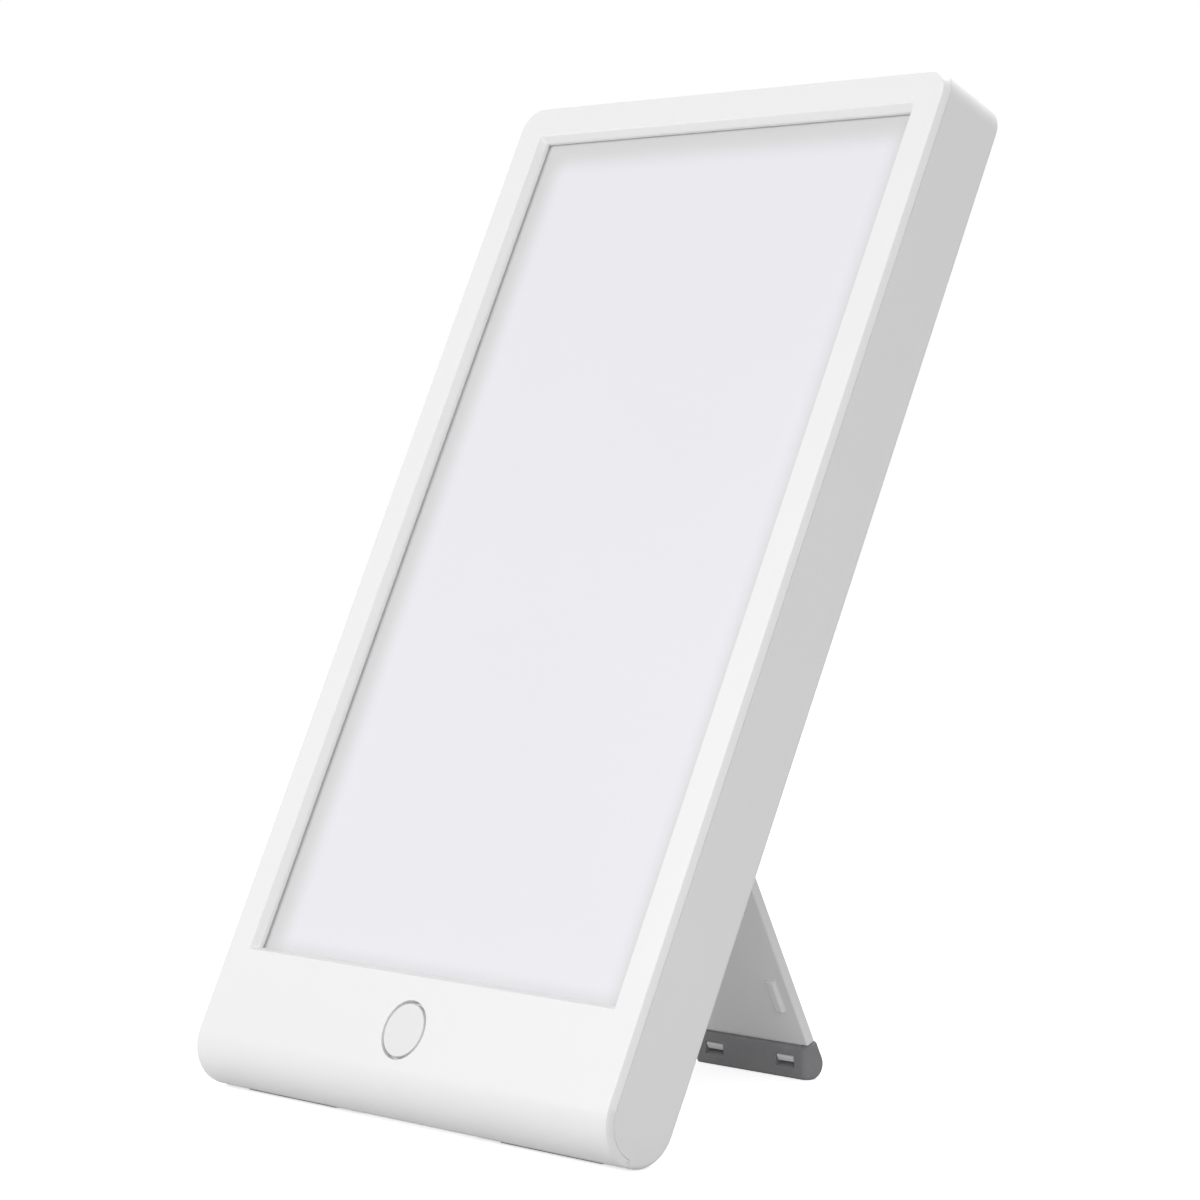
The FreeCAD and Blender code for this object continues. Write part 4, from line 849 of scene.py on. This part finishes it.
# %% Tests for corners that show
SEAM_ANGLE = 88.0
SEAM_BETWEEN = (1.5, 1.9)
SKIN_SLACK = 0.06
# Two places closer than this count as one.
HAIR = 0.01


def from_axis(point):
    """Distance from the axis of the half-round lower edge."""
    return math.hypot(point.y, point.z + ROUND)


def depth_in(point):
    """Depth of a point under the front face, or under the half-round edge below it."""
    return ROUND - from_axis(point) if point.y < HAIR else -point.z


def angle_round(point):
    """Degrees round the half-round lower edge, from straight forwards."""
    return math.degrees(math.atan2(-point.y, point.z + ROUND))


def at_seam(edge):
    """The seam between the shells, down the sides and across the underside."""
    beside = all(SEAM_BETWEEN[0] < depth_in(vert.co) < SEAM_BETWEEN[1] for vert in edge.verts)
    return beside or all(abs(angle_round(vert.co) - SEAM_ANGLE) < 1 for vert in edge.verts)


def on_skin(edge):
    """Whether both ends of an edge lie on the panel's outer skin."""
    for vert in edge.verts:
        out = abs(vert.co.x) > PANEL_HALF - SKIN_SLACK or depth_in(vert.co) < SKIN_SLACK
        at_back = vert.co.y > -HAIR and vert.co.z < SKIN_SLACK - PANEL_DEPTH
        if not (out or at_back):
            return False
    return True


# %% [markdown]
# ## The bezel
#
# The front shell is one moulding: the frame round the window, the chin with the button's hole,
# and the lower edge, which wraps round under the panel. Its outer corner has a steep bevel down
# to the seam, and the window has one too, so those corners turn by small angles and need only a
# small roll. The rim of the button's hole gets the same. The seam stays crisp, because a rolled
# seam would show as a groove, and the two shells meet in a hairline.

# %% Bezel
# As deep as the window's bevel, and a little more.
FRONT_LAYER = 2.3
BEZEL_ROLL = 0.15


def bezel_corner(edge):
    """Front face, bevels, window and button's hole, but neither the seam nor what is behind."""
    if at_seam(edge):
        return False
    near_front = all(0 <= depth_in(vert.co) < FRONT_LAYER for vert in edge.verts)
    return near_front or on_skin(edge)


bezel = copy_of("front_shell")
roll_edges(bezel, bezel_corner, BEZEL_ROLL)
finished(bezel, "bezel", "housing", "front_shell")

# %% [markdown]
# ## The tub
#
# The rear shell is the deep half: sides, top, back and the rear of the half-round edge. Its back
# holds the leg's recess, the cooling slots, the screw wells, the jack's hole and the grooves for
# the grips. All of these open on the outer skin, so one test finds every rim, and one roll breaks
# them all as the mould does. Where the tub takes over from the bezel under the panel, its corner
# starts as wide as the bezel's bevel and fades into the small roll, so that the edge runs on.

# %% Tub
BEVEL_ACROSS = 1.0
BEVEL_DOWN = 1.6
FADED_ANGLE = 150.0
TUB_ROLL = 0.2

tub = copy_of("rear_shell")
roll_edges(tub, lambda edge: on_skin(edge) and not at_seam(edge), TUB_ROLL)
for vert in tub.verts:
    across, down = PANEL_HALF - abs(vert.co.x), ROUND - from_axis(vert.co)
    in_roll = HAIR < across + down < TUB_ROLL + HAIR and min(across, down) > -HAIR
    if vert.co.y > 0 or not in_roll:
        continue
    part = across / (across + down)
    left = min(max((FADED_ANGLE - angle_round(vert.co)) / (FADED_ANGLE - SEAM_ANGLE), 0), 1)
    # Eased at both ends, so that the edge has no kink where the fade starts and stops.
    left *= left * (3 - 2 * left)
    across += (BEVEL_ACROSS * part - across) * left
    down += (BEVEL_DOWN * (1 - part) - down) * left
    drawn_in = (ROUND - down) / from_axis(vert.co)
    vert.co = Vector(
        (
            math.copysign(PANEL_HALF - across, vert.co.x),
            vert.co.y * drawn_in,
            (vert.co.z + ROUND) * drawn_in - ROUND,
        )
    )
finished(tub, "tub", "housing", "rear_shell")

# %% [markdown]
# ## The button
#
# The button stands flush in its hole, so all that shows is a ring. A white groove as narrow as the
# real one fills with light that bounces off its walls, and the ring fades away. So the cap's wall
# is drawn in by 0.3 mm, and the rims of the cap and the hole are rolled: one side of the groove
# turns to the light and the other away from it.

# %% Button
FLUSH = 0.1
CAP_RADIUS = 7.25
ON_WALL = 0.05
DRAWN_IN = 0.3
CAP_ROLL = 0.25


def cap_rim(edge):
    """The rim of the cap's front face."""
    return all(vert.co.z > -FLUSH for vert in edge.verts)


button = copy_of("button_cap")
button_low, button_high = panel_box("button_cap")
button_up = (button_low.y + button_high.y) / 2
for vert in button.verts:
    out = math.hypot(vert.co.x, vert.co.y - button_up)
    if abs(out - CAP_RADIUS) < ON_WALL:
        vert.co.x *= 1 - DRAWN_IN / out
        vert.co.y += (button_up - vert.co.y) * DRAWN_IN / out
roll_edges(button, cap_rim, CAP_ROLL)
finished(button, "button", "power_button", "button_cap")

# %% [markdown]
# ## The leg
#
# The leg is a flat plate with a rounded outer edge, two snap ribs that hold it folded, and two
# hooks that hold its boot. It is one moulding, so its corners get the same small roll. The ribs
# are only a few millimetres wide and fit closely into their slots, so only their tops get a roll,
# half as wide.

# %% Leg
LEG_ROLL = 0.3
LEG_FACE = 0.6
RIB_ACROSS = 16.4
RIB_DOWN = 109.3
RIB_REACH = (1.5, 5.0)
RIB_TOP = 0.5
RIB_TOP_ROLL = 0.15

unfolded = math.radians(joints["stand_fold"]["range_deg"][1])
out_of_leg = Vector((0, -math.sin(unfolded), math.cos(unfolded)))
down_leg = Vector((0, -math.cos(unfolded), -math.sin(unfolded)))


def on_rib(edge, least=-0.1):
    """A snap rib's edges, at least so high above the leg's inner face."""
    for vert in edge.verts:
        arm = vert.co - pivot_in_panel
        in_width = abs(abs(vert.co.x) - RIB_ACROSS) < RIB_REACH[0]
        in_length = abs(arm @ down_leg - RIB_DOWN) < RIB_REACH[1]
        if not (in_width and in_length) or arm @ out_of_leg < LEG_FACE + least:
            return False
    return True


leg = copy_of("leg")
roll_edges(leg, lambda edge: not on_rib(edge), LEG_ROLL)
roll_edges(leg, lambda edge: on_rib(edge, RIB_TOP), RIB_TOP_ROLL)
finished(leg, "folding_leg", "stand", "leg")

# %% [markdown]
# ## The boot
#
# The boot is a rubber cap over the end of the leg, with two windows in which the hooks catch.
# Rubber comes out of its mould with fuller edges than hard plastic, so its outline gets a wide
# roll in four steps and the windows' rims a smaller one. The pocket's mouth is hidden by the leg.

# %% Boot
BOOT_ENDS = (18.9, 22.0)
BOOT_WINDOWS = (9.0, 17.5)


def between(edge, near, far):
    """Whether an edge lies between two distances from the lamp's middle."""
    return all(near < abs(vert.co.x) < far for vert in edge.verts)


boot = copy_of("foot_pad")
roll_edges(boot, lambda edge: between(edge, *BOOT_ENDS), 0.8, 4)
roll_edges(boot, lambda edge: between(edge, *BOOT_WINDOWS), 0.25)
finished(boot, "rubber_boot", "stand", "foot_pad")

# %% [markdown]
# ## The grips
#
# Two rubber strips in the half-round edge carry the panel and keep it from sliding. Real ones
# have fine ribs across the way they would slide. Bump could fake them, but their edge shows
# against the floor, so they are modelled: one small rectangle spun round the edge's axis makes
# the strip, and every few steps two rows of its outer skin are drawn in to leave ribs.

# %% Ribbed grips
GRIP_ANGLE = math.radians(22)
GRIP_STEPS = 22
GROOVE_DEPTH = 0.15
GROOVE_EVERY = 4

strip_points = [FROM_PANEL @ vert.co for vert in solids["grip_strips"].data.vertices]
grip_start = min(abs(point.x) for point in strip_points)
grip_end = max(abs(point.x) for point in strip_points)
grip_in = min(from_axis(point) for point in strip_points)
grip_out = max(from_axis(point) for point in strip_points)
first_angle = math.radians(90) + lean - GRIP_ANGLE / 2

grips = bmesh.new()
for side in (-1, 1):
    section = bmesh.ops.create_grid(grips, x_segments=1, y_segments=1, size=0.5)["verts"]
    long_and_thick = (grip_end - grip_start, grip_out - grip_in, 1)
    bmesh.ops.scale(grips, vec=long_and_thick, verts=section)
    bmesh.ops.translate(
        grips,
        vec=(side * (grip_start + grip_end) / 2, (grip_in + grip_out) / 2, 0),
        verts=section,
    )
    to_start = Matrix.Rotation(math.radians(90) + first_angle, 3, "X")
    bmesh.ops.rotate(grips, cent=(0, 0, 0), matrix=to_start, verts=section)
    bmesh.ops.translate(grips, vec=(0, 0, -ROUND), verts=section)
    bmesh.ops.delete(grips, geom=list(section[0].link_faces), context="FACES_ONLY")
    outline = list(dict.fromkeys(edge for vert in section for edge in vert.link_edges))
    bmesh.ops.spin(
        grips,
        geom=section + outline,
        axis=(1, 0, 0),
        cent=(0, 0, -ROUND),
        angle=GRIP_ANGLE,
        steps=GRIP_STEPS,
    )
bmesh.ops.holes_fill(grips, edges=grips.edges, sides=4)
for vert in grips.verts:
    turned = math.atan2(-vert.co.y, vert.co.z + ROUND) - first_angle
    step = round(turned / GRIP_ANGLE * GRIP_STEPS)
    if from_axis(vert.co) > grip_out - HAIR and step % GROOVE_EVERY in (2, 3):
        drawn_in = 1 - GROOVE_DEPTH / grip_out
        vert.co.y *= drawn_in
        vert.co.z = (vert.co.z + ROUND) * drawn_in - ROUND
bmesh.ops.recalc_face_normals(grips, faces=grips.faces)
finished(grips, "ribbed_grips", "housing", "grip_strips")

# %% [markdown]
# ## The case screws
#
# Two pan head screws close the case from behind, deep in their wells. The cross in the head is
# what makes them read as screws. Cutting it with a boolean would leave long thin triangles, so a
# small grid is used: its lines are moved to the edges of a cross, its border is pushed out to a
# circle, the five faces of the cross are extruded down, and the border is extruded into the
# head's side, its underside and the shank.

# %% One cross head screw
CROSS_HALF_WIDTH = 0.45
CROSS_HALF_LENGTH = 1.6
CROSS_DEPTH = 1.0
CROSS_TAPER = 0.7
DOME = 0.35
HEAD_HEIGHT = 1.9
HEAD_ROLL = 0.12
SHANK_RADIUS = 1.4
SCREW_ACROSS = 68.0

low, high = panel_box("case_screws")
screw_up = (low.y + high.y) / 2
head_radius = (high.y - low.y) / 2


def on_line(value):
    """Where a line of the plain grid goes: the cross's width, its length, or the head's rim."""
    lines = {0.2: CROSS_HALF_WIDTH, 0.6: CROSS_HALF_LENGTH, 1.0: head_radius}
    return math.copysign(lines[round(abs(value), 1)], value)


def cross_head_screw(shape, across):
    """Add one screw whose head faces backwards."""
    verts = bmesh.ops.create_grid(shape, x_segments=5, y_segments=5, size=1)["verts"]
    # A dictionary drops doubles and keeps the order.
    faces = dict.fromkeys(face for vert in verts for face in vert.link_faces)
    rim = [vert for vert in verts if vert.is_boundary]
    for vert in verts:
        vert.co = Vector((on_line(vert.co.x), on_line(vert.co.y), 0))
    for vert in rim:
        vert.co = vert.co.normalized() * head_radius
    for vert in verts:
        vert.co.z = -DOME * (vert.co.length / head_radius) ** 2
    cross = [
        face
        for face in faces
        if min(abs(face.calc_center_median().x), abs(face.calc_center_median().y)) < HAIR
        and face.calc_center_median().length < CROSS_HALF_LENGTH
    ]
    sunk = bmesh.ops.extrude_face_region(shape, geom=cross)["geom"]
    bmesh.ops.delete(shape, geom=cross, context="FACES")
    bottom = [part for part in sunk if isinstance(part, bmesh.types.BMVert)]
    bmesh.ops.translate(shape, vec=(0, 0, -CROSS_DEPTH), verts=bottom)
    bmesh.ops.scale(shape, vec=(CROSS_TAPER, CROSS_TAPER, 1), verts=bottom)
    edges = dict.fromkeys(edge for vert in rim for edge in vert.link_edges)
    border = [edge for edge in edges if edge.is_boundary]
    made = verts + bottom
    for radius, down in (
        (head_radius, HEAD_HEIGHT),
        (SHANK_RADIUS, HEAD_HEIGHT),
        (SHANK_RADIUS, high.z - low.z),
    ):
        ring = bmesh.ops.extrude_edge_only(shape, edges=border)["geom"]
        border = [part for part in ring if isinstance(part, bmesh.types.BMEdge)]
        around = [part for part in ring if isinstance(part, bmesh.types.BMVert)]
        for vert in around:
            flat = Vector((vert.co.x, vert.co.y, 0)).normalized() * radius
            vert.co = Vector((flat.x, flat.y, -down))
        made += around
    bmesh.ops.contextual_create(shape, geom=border)
    turn_round = Matrix.Rotation(math.pi, 3, "X")
    bmesh.ops.rotate(shape, cent=(0, 0, 0), matrix=turn_round, verts=made)
    bmesh.ops.translate(shape, vec=(across, screw_up, low.z), verts=made)


# %% Both case screws
def on_head_rim(edge):
    """The round edges of the heads."""
    for vert in edge.verts:
        out = math.hypot(abs(vert.co.x) - SCREW_ACROSS, vert.co.y - screw_up)
        if out < head_radius - HAIR:
            return False
    return True


screws = bmesh.new()
for across in (-SCREW_ACROSS, SCREW_ACROSS):
    cross_head_screw(screws, across)
bmesh.ops.recalc_face_normals(screws, faces=screws.faces)
roll_edges(screws, on_head_rim, HEAD_ROLL)
finished(screws, "cross_head_screws", "housing", "case_screws")

# %% [markdown]
# ## The power jack
#
# A plug has to find its way into the jack, so its mouth and the tip of its pin are rounded. Both
# are copies of their solids with the corners at the open end rolled over.

# %% Jack and pin
# Edges this close to the open end are its rim.
OPEN_END = 0.05

for name, solid, slot, roll in (
    ("power_jack", "dc_jack", "jack_black", 0.35),
    ("jack_pin_rounded", "jack_pin", "jack_pin_metal", 0.4),
):
    mouth = panel_box(solid)[0].z + OPEN_END
    piece = copy_of(solid)
    roll_edges(piece, lambda edge: all(vert.co.z < mouth for vert in edge.verts), roll, 3)
    finished(piece, name, "housing", solid)

# %% [markdown]
# ## A white studio
#
# The room is a white world. Seen directly, or in a reflection, it is pure white. What it sheds
# on the lamp is dimmer, so that the lamps can model the form: Light Path tells the two apart.
# Grey shades on a white object come only from less light, so the level matters more than in
# other scenes: a front face in full light should come out just as bright as its colour.

# %% World
ROOM_LIGHT = 0.42
WHITE = linear("FFFFFF")

scene = bpy.context.scene
scene.view_settings.view_transform = "Standard"


def directly_seen(tree):
    """1 for a ray from the camera, off a glossy surface or through glass, else 0."""
    rays = node(tree, "LightPath").outputs
    either = node(
        tree, "Math", {0: rays["Is Camera Ray"], 1: rays["Is Glossy Ray"]}, operation="ADD"
    )
    return node(
        tree,
        "Math",
        {0: either.outputs["Value"], 1: rays["Is Transmission Ray"]},
        operation="ADD",
        use_clamp=True,
    ).outputs["Value"]


world = bpy.data.worlds.new("studio")
scene.world = world
world.use_nodes = True
room = world.node_tree
room.nodes.clear()
strength = node(room, "MapRange", {"Value": directly_seen(room), "To Min": ROOM_LIGHT})
glow = node(room, "Background", {"Color": WHITE, "Strength": strength.outputs["Result"]})
node(room, "OutputWorld", {"Surface": glow.outputs["Background"]})
print(f"the room sheds {ROOM_LIGHT} of its white on the lamp")

# %% [markdown]
# ## Three softboxes
#
# The main light stands at the front left, so it fills the front and the chin and leaves the right
# side to the room. A second one stands low at the right and lifts the bevels that face it, so the
# panel's edge reads as a bright line. The third hangs behind and above, so the top is the brightest
# face and its round corners grade down to the side. All are large, because a soft shadow edge is
# what tells the eye that plastic is satin.


# %% Softboxes
def softbox(name, place, aim, size, power):
    """A square light at a place, facing a point: its size in metres, its power in watts."""
    light = bpy.data.lights.new(name, "AREA")
    light.shape = "SQUARE"
    light.size = size
    light.energy = power
    box = bpy.data.objects.new(name, light)
    scene.collection.objects.link(box)
    box.location = place
    box.rotation_euler = (Vector(aim) - Vector(place)).to_track_quat("-Z", "Y").to_euler()
    print(f"{name}: {size} m wide, {power} W")


softbox("front_left", (-0.72, -1.32, 0.80), (0, 0, 0.12), 0.85, 10.3)
softbox("low_right", (1.3, -1.2, 0.55), (0, 0, 0.12), 0.8, 10.0)
softbox("behind_above", (-0.15, 0.9, 1.35), (0, 0.05, 0.25), 0.8, 13.0)

# %% [markdown]
# ## The floor
#
# The lamp stands on a sheet of white paper that runs out of sight. A white floor would throw so
# much light up that the underside lost its shade, so for other surfaces the paper is light grey,
# and for the camera it is white paper with a glow that lifts it to the room's white. The glow is
# even and the paper is not, so the lamp keeps a soft shadow where it stands.

# %% Floor
PAPER_REACH = 6.0
PAPER_GLOW = 0.62
FIBRE_WIDTH = 0.8

sheet_of_paper = bmesh.new()
bmesh.ops.create_grid(sheet_of_paper, x_segments=2, y_segments=2, size=PAPER_REACH)
floor_mesh = bpy.data.meshes.new("paper_floor")
sheet_of_paper.to_mesh(floor_mesh)
sheet_of_paper.free()
floor = bpy.data.objects.new("paper_floor", floor_mesh)
scene.collection.objects.link(floor)

paper, tree, place = new_finish("uncoated_white_paper")
fibres = node(tree, "TexNoise", {"Vector": place, "Scale": 1 / FIBRE_WIDTH, "Detail": 3.0})
felted = node(tree, "Bump", {"Height": fibres.outputs["Fac"], "Distance": 0.01 * MM})
seen = directly_seen(tree)
lit_grey = node(
    tree, "BsdfDiffuse", {"Color": linear("BEBEBE"), "Normal": felted.outputs["Normal"]}
)
lit_white = node(
    tree, "BsdfDiffuse", {"Color": linear("F4F4F4"), "Normal": felted.outputs["Normal"]}
)
glow = node(tree, "Emission", {"Color": WHITE, "Strength": PAPER_GLOW})
glowing = node(tree, "AddShader", {0: lit_white.outputs["BSDF"], 1: glow.outputs["Emission"]})
either = node(
    tree, "MixShader", {0: seen, 1: lit_grey.outputs["BSDF"], 2: glowing.outputs["Shader"]}
)
node(tree, "OutputMaterial", {"Surface": either.outputs["Shader"]})
floor_mesh.materials.append(paper)
print(f"{floor.name} under {len(bpy.data.lights)} softboxes")
